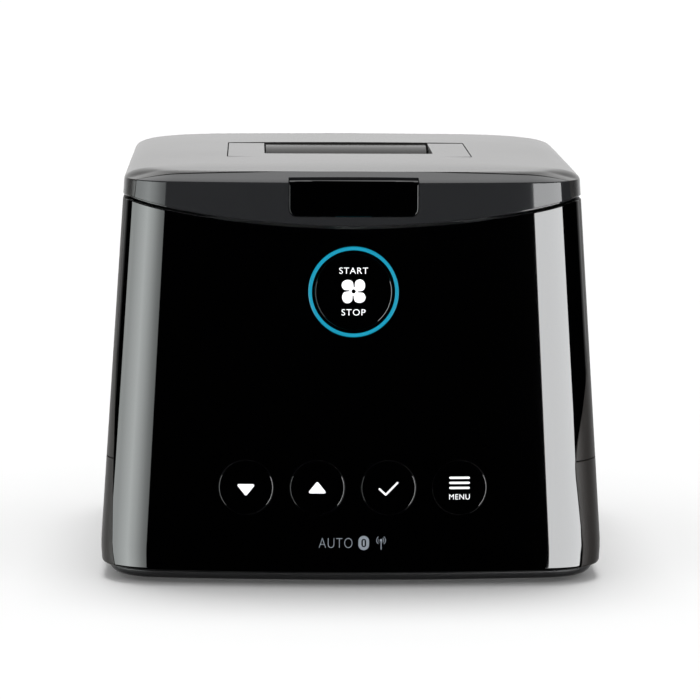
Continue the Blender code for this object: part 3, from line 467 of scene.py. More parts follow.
side_plastic = spark_plastic("side_plastic", (0.026, 0.023, 0.021), 0.42, grain=2200.0, gloss=0.32)
lower = show("lower_shell", case_wall(shell_levels(), closed=True), side_plastic, "housing", "lower_housing")
carve(lower, "INTERSECT", side_seam_cutter("behind", PIECE_GAP / 2, FAR))
carve(lower, "DIFFERENCE", tool("above", block((-FAR, -FAR, LEVEL_SEAM - 0.0001), (FAR, FAR, FAR))))
upper = show("upper_shell", case_wall(shell_levels(), closed=True), side_plastic, "housing", "upper_housing")
carve(upper, "INTERSECT", side_seam_cutter("behind", PIECE_GAP / 2, FAR))
carve(upper, "DIFFERENCE", tool("below", block((-FAR, -FAR, -FAR), (FAR, FAR, LEVEL_SEAM + PIECE_GAP))))


def hole_for(node, slack=0.0003, y_low=0.080):
    low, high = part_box(node)
    return tool("opening", block((low.x - slack, y_low, low.z - slack),
                                 (high.x + slack, 0.120, high.z + slack), 0.0008, 3, along_y))


carve(lower, "DIFFERENCE", hole_for("card_flap"), hole_for("power_inlet"))
carve(upper, "DIFFERENCE", hole_for("filter_cover"))
port_low, port_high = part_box("outlet_port")
port = (port_low + port_high) / 2
port_radius = (port_high.x - port_low.x) / 2
carve(upper, "DIFFERENCE", tool("opening", turned(
    ((port_radius + 0.0004, 0.080), (port_radius + 0.0004, 0.120)), (port.x, 0.0, port.z), "Y")))

# ---- Hinge at the back ------------------------------------------------------------------
# Two barrels moulded on the upper housing carry a steel pin, and a middle barrel on the
# lid turns round it. Each barrel stands on a short tapered arm.

hinge_low, hinge_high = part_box("lid_hinge_pin")
hinge = (hinge_low + hinge_high) / 2
BARREL = 0.0036


def barrel(centre_x, half, arm, radius=BARREL):
    """A rounded barrel on the hinge line, joined to an arm given as (y, z) points from it."""
    profile = [(0.0, -half), (radius - 0.0005, -half), (radius, -half + 0.0005), (radius, half - 0.0005),
               (radius - 0.0005, half), (0.0, half)]
    made = tool("barrel", turned(profile, (centre_x, hinge.y, hinge.z), "X", 40))
    shape = bmesh.new()
    ring = [shape.verts.new((centre_x - half + 0.0004, hinge.y + y, hinge.z + z)) for y, z in arm]
    push(shape, [shape.faces.new(ring)], (2 * half - 0.0008, 0, 0))
    bmesh.ops.recalc_face_normals(shape, faces=shape.faces)
    carve(made, "UNION", tool("arm", shape))
    return made


def pin_bore():
    return tool("bore", turned(((0.0018, -0.05), (0.0018, 0.05)), hinge, "X", 32))


for side in (-1, 1):
    arm = [(-0.0068, -0.0100), (-0.0068, -0.0022), (0.0, -0.0022), (0.0030, -0.0016), (-0.0040, -0.0100)]
    carve(upper, "UNION", barrel(side * 0.0165, 0.0075, arm))
carve(upper, "DIFFERENCE", pin_bore())
smooth(lower)
smooth(upper)
pin_steel = Finish("pin_steel", (0.66, 0.66, 0.65), 0.22, 1.0)
pin_steel.drive("Roughness", pin_steel.noise(400.0, stretch=(0.05, 1.0, 1.0)) * 0.18 + 0.14)
pin_steel = pin_steel.material
pin_half = (hinge_high.x - hinge_low.x) / 2
pin_profile = [(0.0, -pin_half), (0.0012, -pin_half), (0.0015, -pin_half + 0.0004),
               (0.0015, pin_half - 0.0004),
               (0.0012, pin_half), (0.0, pin_half)]
show("hinge_pin", turned(pin_profile, hinge, "X", 32), pin_steel, "housing", "lid_hinge_pin")

# ---- Mains inlet and card flap ----------------------------------------------------------
# A black socket with two blades is clipped in the lower rear wall, and beside it a small
# flap with a finger notch hides the memory card.

low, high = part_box("power_inlet")
inlet = show("mains_inlet", block(low, high, 0.0006, 3), base_plastic, "housing", "power_inlet")
middle = (low + high) / 2
socket = block((middle.x - 0.0105, high.y - 0.0156, middle.z - 0.0062), (middle.x + 0.0105, high.y + 0.01,
                                                                        middle.z + 0.0062), 0.0040, 6,
               along_y)
carve(inlet, "DIFFERENCE", tool("socket", socket))
smooth(inlet)
blade_metal = Finish("blade_metal", (0.80, 0.76, 0.66), 0.25, 1.0)
blade_metal.drive("Roughness", blade_metal.noise(300.0) * 0.2 + 0.15)
blade_metal = blade_metal.material
for side in (-1, 1):
    x = middle.x + side * 0.0045
    blade = block((x - 0.0010, high.y - 0.0160, middle.z - 0.0010),
                  (x + 0.0010, high.y - 0.0030, middle.z + 0.0010),
                  0.0005, 3)
    made = show(f"inlet_blade_{'left' if side < 0 else 'right'}", blade, blade_metal, "housing")


def door_panel(name, node, slots):
    """A flat door that follows the rear wall, with softened edges and optional louvres."""
    low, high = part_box(node)
    shape = block((low.x, high.y - 0.0020, low.z), (high.x, high.y, high.z), 0.0004, 3)
    for vert in shape.verts:
        vert.co.y -= REAR_TAPER * (vert.co.z - low.z)
    made = show(name, shape, side_plastic, node, node)
    for z in slots:
        slot = block((low.x + 0.0060, 0.070, z), (high.x - 0.0060, 0.120, z + 0.0022), 0.0010, 4, along_y)
        carve(made, "DIFFERENCE", tool("slot", slot))
    return made


flap = door_panel("card_flap_panel", "card_flap", ())
low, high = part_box("card_flap")
notch = turned(((0.0, -0.0020), (0.0028, -0.0012), (0.0040, 0.0004), (0.0040, 0.0030)),
               ((low.x + high.x) / 2, high.y - 0.0004, high.z - 0.0030), "Y", 32)
carve(flap, "DIFFERENCE", tool("notch", notch))
smooth(flap)

# ---- Filter cover, filter and intake duct -----------------------------------------------
# A louvred door hinges down to reach the fleece filter, and a ribbed duct leads from
# behind it over the blower.

low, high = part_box("filter_cover")
louvres = [low.z + 0.0070 + 0.0050 * i for i in range(5)]
smooth(door_panel("filter_door", "filter_cover", louvres))
fleece = Finish("filter_fleece", (0.78, 0.79, 0.78), 0.95, Sheen_Weight=0.4)
fluff = fleece.noise(900.0, 6.0, 0.7)
fleece.bump(fluff, 0.0004)
fleece.tint(fluff, (0.66, 0.67, 0.66), (0.86, 0.87, 0.86))
fleece = fleece.material
low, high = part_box("air_filter")
pad = block(low, high, 0.0012, 4)
bmesh.ops.subdivide_edges(pad, edges=pad.edges, cuts=3, use_grid_fill=True)
show("fleece_filter", pad, fleece, "housing", "air_filter")

# ---- Air outlet -------------------------------------------------------------------------
# A tapered connector for the breathing hose stands out of the back, with a collar against
# the wall, a stepped rim and a smooth bore that runs in to the humidifier.

inner_plastic = spark_plastic("inner_plastic", (0.12, 0.125, 0.13), 0.48, grain=1800.0, depth=0.00003)
length = port_high.y - port_low.y
profile = [(0.0096, 0.0), (0.0122, 0.0), (0.0122, length - 0.0160), (port_radius, length - 0.0155),
           (port_radius, length - 0.0046), (port_radius - 0.0005, length - 0.0040), (0.0113, length - 0.0040),
           (0.0110, length - 0.0008), (0.0106, length - 0.0002), (0.0102, length), (0.0098, length - 0.0002),
           (0.0096, length - 0.0008), (0.0096, 0.0)]
show("hose_connector", turned(profile, (port.x, port_low.y, port.z), "Y", 96), inner_plastic, "housing",
     "outlet_port")

# ---- Insides ----------------------------------------------------------------------------
# Blower, motor, duct, boards and heater keep the shapes they were designed with. Each gets
# the finish of its real material: moulded plastic, solder mask, cast metal or rubber.

board_mask = Finish("board_mask", (0.012, 0.10, 0.04), 0.35)
tracks = board_mask.node("TexVoronoi", {"feature": "DISTANCE_TO_EDGE"},
                         {"Vector": board_mask.place(), "Scale": 260.0})
board_mask.tint(tracks.math("LESS_THAN", 0.06), (0.010, 0.085, 0.035), (0.03, 0.19, 0.08))
board_mask = board_mask.material
soft_silicone = Finish("soft_silicone", (0.44, 0.44, 0.43), 0.62, Specular_IOR_Level=0.35)
soft_silicone.bump(soft_silicone.noise(700.0), 0.00003)
soft_silicone = soft_silicone.material
cast_plate = Finish("cast_plate", (0.72, 0.73, 0.74), 0.30, 1.0)
rings = cast_plate.node("TexWave", {"wave_type": "RINGS", "rings_direction": "Z"},
                        {"Vector": cast_plate.node("Mapping", inputs={
                            "Vector": cast_plate.node("TexCoord", output=3), "Location": (0.0, 0.028, 0.0)}),
                            "Scale": 500.0, "Distortion": 0.4})
cast_plate.bump(rings, 0.00002)
cast_plate.drive("Roughness", cast_plate.noise(60.0) * 0.15 + 0.24)
cast_plate = cast_plate.material
motor_can = Finish("motor_can", (0.50, 0.50, 0.50), 0.34, 1.0)
motor_can.drive("Roughness", motor_can.noise(500.0, stretch=(1.0, 1.0, 0.04)) * 0.25 + 0.22)
motor_can = motor_can.material
kept = {
    inner_plastic: ("status_display", "blower_housing", "blower_cover", "impeller", "intake_duct", "bay_deck",
                    "chamber_bay"),
    board_mask: ("control_board", "power_supply_board"),
    soft_silicone: ("keypad_mat", "start_switch_pad", "blower_outlet_seal", "heater_insulator", "lid_seal"),
    foot_rubber: ("blower_mount",),
    cast_plate: ("heater_plate",),
    motor_can: ("blower_motor", "mains_transformer", "latch_catch", "release_latch"),
    pin_steel: ("handle_pin_left", "handle_pin_right"),
}
for finish, names in kept.items():
    for name in names:
        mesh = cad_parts[name].data
        mesh.materials.clear()
        mesh.materials.append(finish)

# ---- Water chamber ----------------------------------------------------------------------
# A clear polycarbonate tub with a pressed steel base stands in the bay on the heater. A
# silicone ring seals its clear lid, which has a round filling hole.

clear = Finish("clear_polycarbonate", (0.86, 0.92, 0.95), 0.05, Transmission_Weight=0.92, IOR=1.58)
clear.drive("Roughness", clear.noise(30.0) * 0.05 + 0.03)
clear = clear.material
tub_low, tub_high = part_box("water_chamber")
WALL_TUB = 0.0022
tub = show("clear_tub", block(tub_low, tub_high, 0.0140, 10, upright), clear, "housing", "water_chamber")
inner = block((tub_low.x + WALL_TUB, tub_low.y + WALL_TUB, tub_low.z + WALL_TUB),
              (tub_high.x - WALL_TUB, tub_high.y - WALL_TUB, 0.14), 0.0120, 10, upright)
heater_low, heater_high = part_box("chamber_base_plate")
heater = (heater_low + heater_high) / 2
plate_radius = (heater_high.x - heater_low.x) / 2
floor_hole = turned(((plate_radius + 0.0004, 0.030), (plate_radius + 0.0004, 0.060)),
                    (heater.x, heater.y, 0.0))
carve(tub, "DIFFERENCE", tool("inner", inner), tool("floor_hole", floor_hole))
for x in (port.x, (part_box("blower_outlet_seal")[0].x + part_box("blower_outlet_seal")[1].x) / 2):
    bore = turned(((0.0082, 0.0), (0.0082, 0.05)), (x, 0.0, port.z), "Y", 48)
    carve(tub, "DIFFERENCE", tool("bore", bore))
smooth(tub)
profile = [(0.0, heater_low.z + 0.0004), (plate_radius - 0.0050, heater_low.z + 0.0004),
           (plate_radius - 0.0040, heater_low.z), (plate_radius, heater_low.z),
           (plate_radius, heater_high.z - 0.0004),
           (plate_radius - 0.0005, heater_high.z), (plate_radius - 0.0030, heater_high.z),
           (plate_radius - 0.0045, heater_high.z - 0.0012), (0.0, heater_high.z - 0.0012)]
show("pressed_base", turned(profile, (heater.x, heater.y, 0.0), steps=96), cast_plate, "housing",
     "chamber_base_plate")
ring_low, ring_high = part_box("chamber_seal")
ring = show("chamber_seal_ring", block(ring_low, ring_high, 0.0140, 10, upright), soft_silicone, "housing",
            "chamber_seal")
core = block((ring_low.x + 0.0036, ring_low.y + 0.0036, 0.05),
             (ring_high.x - 0.0036, ring_high.y - 0.0036, 0.15),
             0.0104, 10, upright)
carve(ring, "DIFFERENCE", tool("core", core))
smooth(ring)
lid_low, lid_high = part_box("chamber_lid")
hood = block(lid_low, lid_high, 0.0140, 10, upright)
rim = [edge for edge in hood.edges if all(v.co.z > lid_high.z - 1e-6 for v in edge.verts)]
bmesh.ops.bevel(hood, geom=rim, offset=0.0020, segments=5, affect="EDGES", profile=0.5, material=-1)
hood = show("clear_hood", hood, clear, "housing", "chamber_lid")
core = block((lid_low.x + WALL_TUB, lid_low.y + WALL_TUB, 0.05),
             (lid_high.x - WALL_TUB, lid_high.y - WALL_TUB,
                                                                 lid_high.z - WALL_TUB), 0.0120, 10, upright)
fill = turned(((0.0110, 0.090), (0.0110, 0.130)), (0.0340, -0.0100, 0.0), steps=64)
carve(hood, "DIFFERENCE", tool("core", core), tool("fill", fill))
smooth(hood)

# ---- Front cover ------------------------------------------------------------------------
# One piece of piano-black plastic wraps the front and both corners, with a softly rounded
# rim under the lid. Five round openings with a fine chamfer take the buttons.

START_Z = 0.0892                   # up the leaning front from WIDE_Z
KEY_Z = 0.0237
START_RADIUS = 0.0127
LIGHT_INNER, LIGHT_OUTER = 0.0139, 0.0150
KEY_RADIUS = 0.0090
KEYS = {"down": -0.0357, "up": -0.0119, "confirm": 0.0119, "menu": 0.0357}
BUTTON_DEPTH = 0.0034
LEAN_TURN = Matrix.Rotation(-math.atan(FRONT_LEAN), 4, "X")

piano_black = Finish("piano_black", (0.0004, 0.0004, 0.0005), 0.035, Specular_IOR_Level=0.9)
haze = piano_black.noise(9.0, 5.0, 0.6)
piano_black.drive("Roughness", haze * 0.02 + 0.025)
piano_black = piano_black.material


def on_front(x, z):
    """The frame of a flat spot on the front: its Y points straight in, its origin is flush."""
    sink = BOW_RADIUS - math.sqrt(BOW_RADIUS ** 2 - x ** 2)
    turn = Matrix.Rotation(math.asin(x / BOW_RADIUS), 4, "Z")
    return Matrix.Translation((0.0, FRONT_Y, WIDE_Z)) @ LEAN_TURN @ Matrix.Translation((x, sink, z)) @ turn


def round_on_front(profile, x, z, steps=96):
    shape = turned(profile, (0.0, 0.0, 0.0), "Y", steps)
    shape.transform(on_front(x, z))
    return shape


cover = show("gloss_front", case_wall(shell_levels(), closed=True), piano_black, "housing", "front_cover")
carve(cover, "INTERSECT", side_seam_cutter("ahead", -PIECE_GAP / 2, -FAR))


def opening(radius, x, z):
    chamfer = 0.00016
    profile = ((radius + chamfer + 0.0010, -0.0010), (radius + chamfer, 0.0), (radius, chamfer),
               (radius, 0.010))
    return tool("opening", round_on_front(profile, x, z))


carve(cover, "DIFFERENCE", opening(LIGHT_OUTER + 0.00012, 0.0, START_Z))
for x in KEYS.values():
    carve(cover, "DIFFERENCE", opening(KEY_RADIUS + 0.00025, x, KEY_Z))
smooth(cover, 28.0)

# ---- Start button and its light ring ----------------------------------------------------
# A gloss black cap with printed legends sits inside a translucent blue-green light guide,
# lit from behind by the control board.

ring_glow = Finish("ring_glow", (0.004, 0.14, 0.22), 0.28, Emission_Strength=1.0)
sweep = ring_glow.noise(70.0, 1.0)
ring_glow.drive("Emission Color", ring_glow.node("Mix", {"data_type": "RGBA"}, {
    0: sweep, 6: (0.001, 0.19, 0.29, 1.0), 7: (0.002, 0.25, 0.37, 1.0)}, output=2))
ring_glow = ring_glow.material
profile = [(LIGHT_INNER, 0.0040), (LIGHT_INNER, 0.00015), (LIGHT_INNER + 0.00015, 0.0),
           (LIGHT_OUTER - 0.00015, 0.0),
           (LIGHT_OUTER, 0.00015), (LIGHT_OUTER, 0.0040), (LIGHT_INNER, 0.0040)]
show("light_guide", round_on_front(profile, 0.0, START_Z, 128), ring_glow, "housing", "start_light_ring")


def cap(name, node, radius, x, z):
    edge = 0.00014
    profile = [(0.0, 0.0), (radius - edge, 0.0), (radius - edge * 0.3, edge * 0.3), (radius, edge),
               (radius, BUTTON_DEPTH), (0.0, BUTTON_DEPTH)]
    return show(name, round_on_front(profile, x, z), piano_black, node, node, sharp=15.0)


collar = [(START_RADIUS + 0.00025, 0.0040), (START_RADIUS + 0.00025, 0.00030),
          (START_RADIUS + 0.00040, 0.00005),
          (LIGHT_INNER - 0.00005, 0.00005), (LIGHT_INNER - 0.00005, 0.0040), (START_RADIUS + 0.00025, 0.0040)]
inner_collar = show("light_collar", round_on_front(collar, 0.0, START_Z, 128), piano_black, "housing")
cap("start_cap", "start_button", START_RADIUS, 0.0, START_Z)

# Painted glow: the white print on the caps is given emission, so it shines brighter than the lamps alone
# would light it.
legend_white_painted_glow = Finish("legend_white_painted_glow", (0.80, 0.81, 0.82), 0.45, Emission_Strength=0.75)
legend_white_painted_glow.drive("Emission Color", legend_white_painted_glow.node("Mix", {"data_type": "RGBA"}, {
    0: legend_white_painted_glow.noise(900.0), 6: (0.80, 0.81, 0.83, 1.0), 7: (0.92, 0.93, 0.94, 1.0)}, output=2))
legend_white_painted_glow = legend_white_painted_glow.material
PRINT = 0.00004                    # the print stands this far off the plastic


def lift(shape, x, z):
    """Give flat artwork in the XZ plane its thickness and lay it on the front at (x, z)."""
    bmesh.ops.remove_doubles(shape, verts=shape.verts, dist=1e-7)
    for face in shape.faces:
        if face.normal.y > 0:
            face.normal_flip()
    push(shape, shape.faces[:], (0.0, -PRINT, 0.0), keep=True)
    bmesh.ops.recalc_face_normals(shape, faces=shape.faces)
    shape.transform(on_front(x, z))
    return shape


def legend(name, shape, body, x, z, finish=None):
    made = show(name, lift(shape, x, z), finish or legend_white_painted_glow, body)
    return made


def lettering(text, height, width, weight=0.0, spacing=1.0):
    """Upright capitals in the XZ plane, centred, with the given height and overall width."""
    curve = bpy.data.curves.new("text", "FONT")
    curve.body = text
    curve.align_x = "CENTER"
    curve.offset = weight
    curve.space_character = spacing
    curve.resolution_u = 6
    holder = bpy.data.objects.new("text", curve)
    bpy.context.scene.collection.objects.link(holder)
    bpy.context.view_layer.update()
    mesh = bpy.data.meshes.new_from_object(holder.evaluated_get(bpy.context.evaluated_depsgraph_get()))
    shape = bmesh.new()
    shape.from_mesh(mesh)
    bpy.data.objects.remove(holder)
    bpy.data.meshes.remove(mesh)
    xs = [v.co.x for v in shape.verts]
    ys = [v.co.y for v in shape.verts]
    size = Vector((max(xs) - min(xs), max(ys) - min(ys)))
    middle = Vector(((max(xs) + min(xs)) / 2, (max(ys) + min(ys)) / 2))
    for vert in shape.verts:
        vert.co = ((vert.co.x - middle.x) * width / size.x, 0.0, (vert.co.y - middle.y) * height / size.y)
    return shape


def stroke(points, width, round_steps=8):
    """A round-ended line through (x, z) points, as one flat sheet per run and joint."""
    shape = bmesh.new()
    half = width / 2
    for x, z in points:
        made = bmesh.ops.create_circle(shape, cap_ends=True, radius=half, segments=2 * round_steps)
        bmesh.ops.rotate(shape, verts=made["verts"], cent=(0, 0, 0),
                         matrix=Matrix.Rotation(math.pi / 2, 3, "X"))
        bmesh.ops.translate(shape, verts=made["verts"], vec=(x, 0.0, z))
    for (x0, z0), (x1, z1) in zip(points, points[1:]):
        along = Vector((x1 - x0, 0.0, z1 - z0))
        side = Vector((-along.z, 0.0, along.x)).normalized() * half
        start, end = Vector((x0, 0.0, z0)), Vector((x1, 0.0, z1))
        shape.faces.new([shape.verts.new(p) for p in (start - side, end - side, end + side, start + side)])
    return shape


def melt(shape, thickness=0.0010):
    """Union the overlapping sheets of a flat drawing into one clean outline."""
    sheets = []
    while shape.faces:
        shape.faces.ensure_lookup_table()
        island = {shape.faces[0]}
        edge_of = list(island)
        while edge_of:
            face = edge_of.pop()
            for edge in face.edges:
                for other in edge.link_faces:
                    if other not in island:
                        island.add(other)
                        edge_of.append(other)
        sheet = bmesh.new()
        for face in island:
            sheet.faces.new([sheet.verts.new(v.co) for v in face.verts])
        bmesh.ops.remove_doubles(sheet, verts=sheet.verts, dist=1e-8)
        push(sheet, sheet.faces[:], (0.0, thickness, 0.0), keep=True)
        bmesh.ops.recalc_face_normals(sheet, faces=sheet.faces)
        sheets.append(sheet)
        bmesh.ops.delete(shape, geom=list(island), context="FACES")
    shape.free()
    whole = tool("melt", sheets[0])
    carve(whole, "UNION", *[tool("sheet", sheet) for sheet in sheets[1:]])
    result = bmesh.new()
    result.from_mesh(whole.data)
    bpy.data.objects.remove(whole)
    low = min(v.co.y for v in result.verts)
    back = [face for face in result.faces if any(v.co.y > low + thickness * 0.3 for v in face.verts)]
    bmesh.ops.delete(result, geom=back, context="FACES")
    return result


def fan_symbol(size):
    """Four rounded blades on the diagonals, round a small open hub."""
    shape = bmesh.new()
    for quarter in range(4):
        made = bmesh.ops.create_circle(shape, cap_ends=True, radius=1.0, segments=36)["verts"]
        for vert in made:
            x, y = vert.co.x, vert.co.y
            x *= 0.238 - 0.120 * max(0.0, -y) ** 1.2
            x, y = size * x, size * (0.325 + 0.255 * y)
            x += size * 0.05 * (1.0 - y / (0.4 * size))
            angle = math.radians(45.0) + quarter * math.pi / 2
            vert.co = (x * math.cos(angle) - y * math.sin(angle), 0.0,
                       x * math.sin(angle) + y * math.cos(angle))
    core = bmesh.ops.create_circle(shape, cap_ends=True, radius=size * 0.17, segments=32)["verts"]
    bmesh.ops.rotate(shape, verts=core, cent=(0, 0, 0), matrix=Matrix.Rotation(math.pi / 2, 3, "X"))
    flat = melt(shape)
    solid = bmesh.new()
    mesh = bpy.data.meshes.new("fan")
    flat.to_mesh(mesh)
    flat.free()
    solid.from_mesh(mesh)
    bpy.data.meshes.remove(mesh)
    push(solid, solid.faces[:], (0.0, 0.001, 0.0), keep=True)
    bmesh.ops.recalc_face_normals(solid, faces=solid.faces)
    fan = tool("fan", solid)
    hub = turned(((size * 0.085, -0.01), (size * 0.085, 0.01)), (0, 0, 0), "Y", 32)
    carve(fan, "DIFFERENCE", tool("hub", hub))
    result = bmesh.new()
    result.from_mesh(fan.data)
    bpy.data.objects.remove(fan)
    low = min(v.co.y for v in result.verts)
    bmesh.ops.delete(result, geom=[f for f in result.faces if any(v.co.y > low + 0.0003 for v in f.verts)],
                     context="FACES")
    return result


legend("legend_start", lettering("START", 0.0021, 0.0096, 0.0, 1.12), "start_button", 0.0, START_Z + 0.0071)
legend("legend_stop", lettering("STOP", 0.0021, 0.0080, 0.0, 1.12), "start_button", 0.0, START_Z - 0.0068)
legend("legend_fan", fan_symbol(0.0082), "start_button", 0.0, START_Z + 0.0002)

# ---- Four keys --------------------------------------------------------------------------
# Smaller gloss caps below: down, up, confirm and menu, each with a white printed symbol.

for name, x in KEYS.items():
    cap(name + "_cap", name + "_button", KEY_RADIUS, x, KEY_Z)


def triangle(width, height, corner):
    shape = bmesh.new()
    inner = [(-width / 2 + corner * 1.2, -height / 2 + corner),
             (width / 2 - corner * 1.2, -height / 2 + corner),
             (0.0, height / 2 - corner)]
    shape = stroke(inner + inner[:1], 2 * corner)
    shape.faces.new([shape.verts.new((x, 0.0, z)) for x, z in inner])
    return melt(shape)


def flipped(shape):
    bmesh.ops.rotate(shape, verts=shape.verts, cent=(0, 0, 0), matrix=Matrix.Rotation(math.pi, 3, "Y"))
    return shape


legend("legend_down", flipped(triangle(0.0058, 0.0038, 0.00045)), "down_button", KEYS["down"], KEY_Z - 0.0008)
legend("legend_up", triangle(0.0058, 0.0038, 0.00045), "up_button", KEYS["up"], KEY_Z)
tick = stroke([(-0.0030, -0.0001), (-0.0009, -0.0020), (0.0030, 0.0020)], 0.00062)
legend("legend_confirm", melt(tick), "confirm_button", KEYS["confirm"], KEY_Z - 0.0003)
for row in range(3):
    z = KEY_Z + 0.0033 - 0.0017 * row
    bar = melt(stroke([(-0.0031, 0.0), (0.0031, 0.0)], 0.00075))
    legend(f"legend_menu_bar_{row}", bar, "menu_button", KEYS["menu"], z)
legend("legend_menu", lettering("MENU", 0.0018, 0.0069, 0.0, 1.12), "menu_button", KEYS["menu"],
       KEY_Z - 0.0031)

# ---- Status row -------------------------------------------------------------------------
# A word and two plain symbols shine through the front cover from the display behind it.

status_grey = Finish("status_grey", (0.16, 0.18, 0.20), 0.5, Emission_Strength=0.55)
status_grey.drive("Emission Color", status_grey.node("Mix", {"data_type": "RGBA"}, {
    0: status_grey.noise(500.0), 6: (0.19, 0.22, 0.26, 1.0), 7: (0.25, 0.28, 0.33, 1.0)}, output=2))
status_grey = status_grey.material
STATUS_Z = 0.0052


def arc(centre, radius, start, end, steps=10):
    return [(centre[0] + radius * math.cos(math.radians(start + (end - start) * i / steps)),
             centre[1] + radius * math.sin(math.radians(start + (end - start) * i / steps)))
            for i in range(steps + 1)]


legend("status_auto", lettering("AUTO", 0.0033, 0.0112, -0.022, 1.10), "housing", -0.0057, STATUS_Z,
       status_grey)


def pill(half_width, half_height, rim=0.0):
    """An upright pill shape, filled, or hollow when it has a rim."""
    shape = bmesh.new()
    verts = bmesh.ops.create_circle(shape, cap_ends=True, radius=half_width, segments=32)["verts"]
    bmesh.ops.rotate(shape, verts=verts, cent=(0, 0, 0), matrix=Matrix.Rotation(math.pi / 2, 3, "X")
                     @ Matrix.Rotation(math.pi / 32, 3, "Z"))
    for vert in verts:
        vert.co.z += math.copysign(half_height - half_width, vert.co.z)
    if rim:
        middle = shape.faces[:]
        bmesh.ops.inset_region(shape, faces=middle, thickness=rim, use_even_offset=True, use_boundary=True)
        bmesh.ops.delete(shape, geom=middle, context="FACES")
    return shape


legend("status_link_outline", pill(0.0018, 0.0024, 0.0010), "housing", 0.0037, STATUS_Z, status_grey)
legend("status_link_dot", pill(0.0003, 0.0010), "housing", 0.0037, STATUS_Z, status_grey)
mast = stroke([(0.0, -0.0021), (0.0, 0.0008)], 0.00028, 6)
legend("status_mast", melt(mast), "housing", 0.0095, STATUS_Z, status_grey)
legend("status_mast_tip", melt(stroke([(0.0, 0.0009)], 0.0009)), "housing", 0.0095, STATUS_Z, status_grey)
for side in (0, 180):
    for radius in (0.0009, 0.0015):
        wave = melt(stroke(arc((0.0, 0.0009), radius, side - 50, side + 50), 0.00020, 5))
        name = f"status_wave_{'right' if side == 0 else 'left'}_{'near' if radius < 0.001 else 'far'}"
        legend(name, wave, "housing", 0.0095, STATUS_Z, status_grey)

# ---- Lid --------------------------------------------------------------------------------
# The hinged lid is a semi-gloss dark grey shell. Its top is nearly flat with a soft roll
# along the front, its edges are well rounded, and a separate front trim has a crisp edge
# with a sloping facet above it.

LID_TOP = 0.1392
LID_SHOULDER = 0.1344              # the side wall ends and the rounded edge starts
EDGE_REACH = 0.0110                # how far in from the side the rounding ends
FRONT_EDGE_Z = 0.1352
BEVEL_DEPTH = 0.012
BEVEL_RISE = 0.0029
BEVEL_SLOPE = BEVEL_RISE / BEVEL_DEPTH
EDGE_Y = FRONT_Y + FRONT_LEAN * (FRONT_EDGE_Z - WIDE_Z)
CREASE_Y = EDGE_Y + BEVEL_DEPTH
ROLL = 0.0125                      # how far behind the crease the front roll reaches
LID_ROUNDING = 2.4                 # 2 would be a quarter ellipse, more is fuller
LID_MIDDLE_Y, LID_HALF_DEPTH, LID_HALF_WIDTH = 0.010, 0.100, 0.077


def lid_crown(x, y, z):
    """How far the top falls: a slight bow, and along the front a roll down to meet the facet."""
    share = min(1.0, max(0.0, (z - LID_SHOULDER) / (LID_TOP - LID_SHOULDER)))
    along = (y - LID_MIDDLE_Y) / LID_HALF_DEPTH
    across = x / LID_HALF_WIDTH
    bow = share * ((0.0003 if along < 0.0 else 0.0008) * along * along + 0.0005 * across * across)
    roll = min(1.0, max(0.0, (CREASE_Y + ROLL - y) / ROLL)) ** 2
    inwards = 1.0 - (1.0 - share ** LID_ROUNDING) ** (1 / LID_ROUNDING)
    facet_z = FRONT_EDGE_Z + BEVEL_RISE * inwards
    return bow + max(0.0, z - facet_z - bow) * roll


def above_seam(rise):
    return lambda x, y: seam_height(x, y) + HALF_SEAM_GAP + rise


def lid_levels(hollow=True):
    """From the middle of the top outwards, over the edge, down, and back up the inside."""
    top = [(LID_TOP, EDGE_REACH, shrink) for shrink in (0.04, 0.25, 0.5, 0.72, 0.88, 0.96)]
    edge = []
    steps = 16
    for step in range(steps + 1):
        turn = math.pi / 2 * (1.0 - step / steps)
        reach = EDGE_REACH * (1.0 - math.cos(turn) ** (2 / LID_ROUNDING))
        edge.append((LID_SHOULDER + (LID_TOP - LID_SHOULDER) * math.sin(turn) ** (2 / LID_ROUNDING), reach))
    lip = [(above_seam(0.0004), 0.0), (above_seam(0.00025), 0.00012), (above_seam(0.00025), 0.0005),
           (above_seam(-0.0001), 0.00055), (above_seam(-0.0002), 0.0007)]
    if not hollow:
        return top + edge + [(0.1190, 0.0)]
    inside = [(above_seam(-0.0002), WALL)] + [(LID_TOP - drop, inset) for drop, inset in (
        (0.0088, WALL), (0.0068, 0.0034), (0.0052, 0.0062), (0.0036, 0.0120), (0.0026, 0.0170))]
    inside += [(LID_TOP - 0.0026, 0.0170, shrink) for shrink in (0.72, 0.40, 0.06)]
    return top + edge + lip + inside


def trim_levels():
    """The lid's wall with a facet of even width above its crisp edge, instead of the rounding."""
    facet = [(FRONT_EDGE_Z + BEVEL_SLOPE * reach, reach) for reach in (0.0160, 0.0090, 0.0040, 0.00045)]
    ridge = [(FRONT_EDGE_Z - 0.00010, 0.00008), (FRONT_EDGE_Z - 0.00035, 0.0)]
    whole = lid_levels()
    below = whole[next(i for i, level in enumerate(whole) if callable(level[0])):]
    return [(facet[0][0], facet[0][1], 0.3)] + facet + ridge + below


def facet_cutter(edge_z=FRONT_EDGE_Z, slope=BEVEL_SLOPE):
    """Everything above a plane that rises to the rear from the lid's front edge."""
    shape = bmesh.new()
    near, far = EDGE_Y - 0.030, EDGE_Y + 0.040
    side = [(near, edge_z - 0.030 * slope), (far, edge_z + 0.040 * slope), (far, 0.2), (near, 0.2)]
    face = shape.faces.new([shape.verts.new((-FAR, y, z)) for y, z in side])
    push(shape, [face], (2 * FAR, 0, 0))
    bmesh.ops.recalc_face_normals(shape, faces=shape.faces)
    return tool("facet", shape)


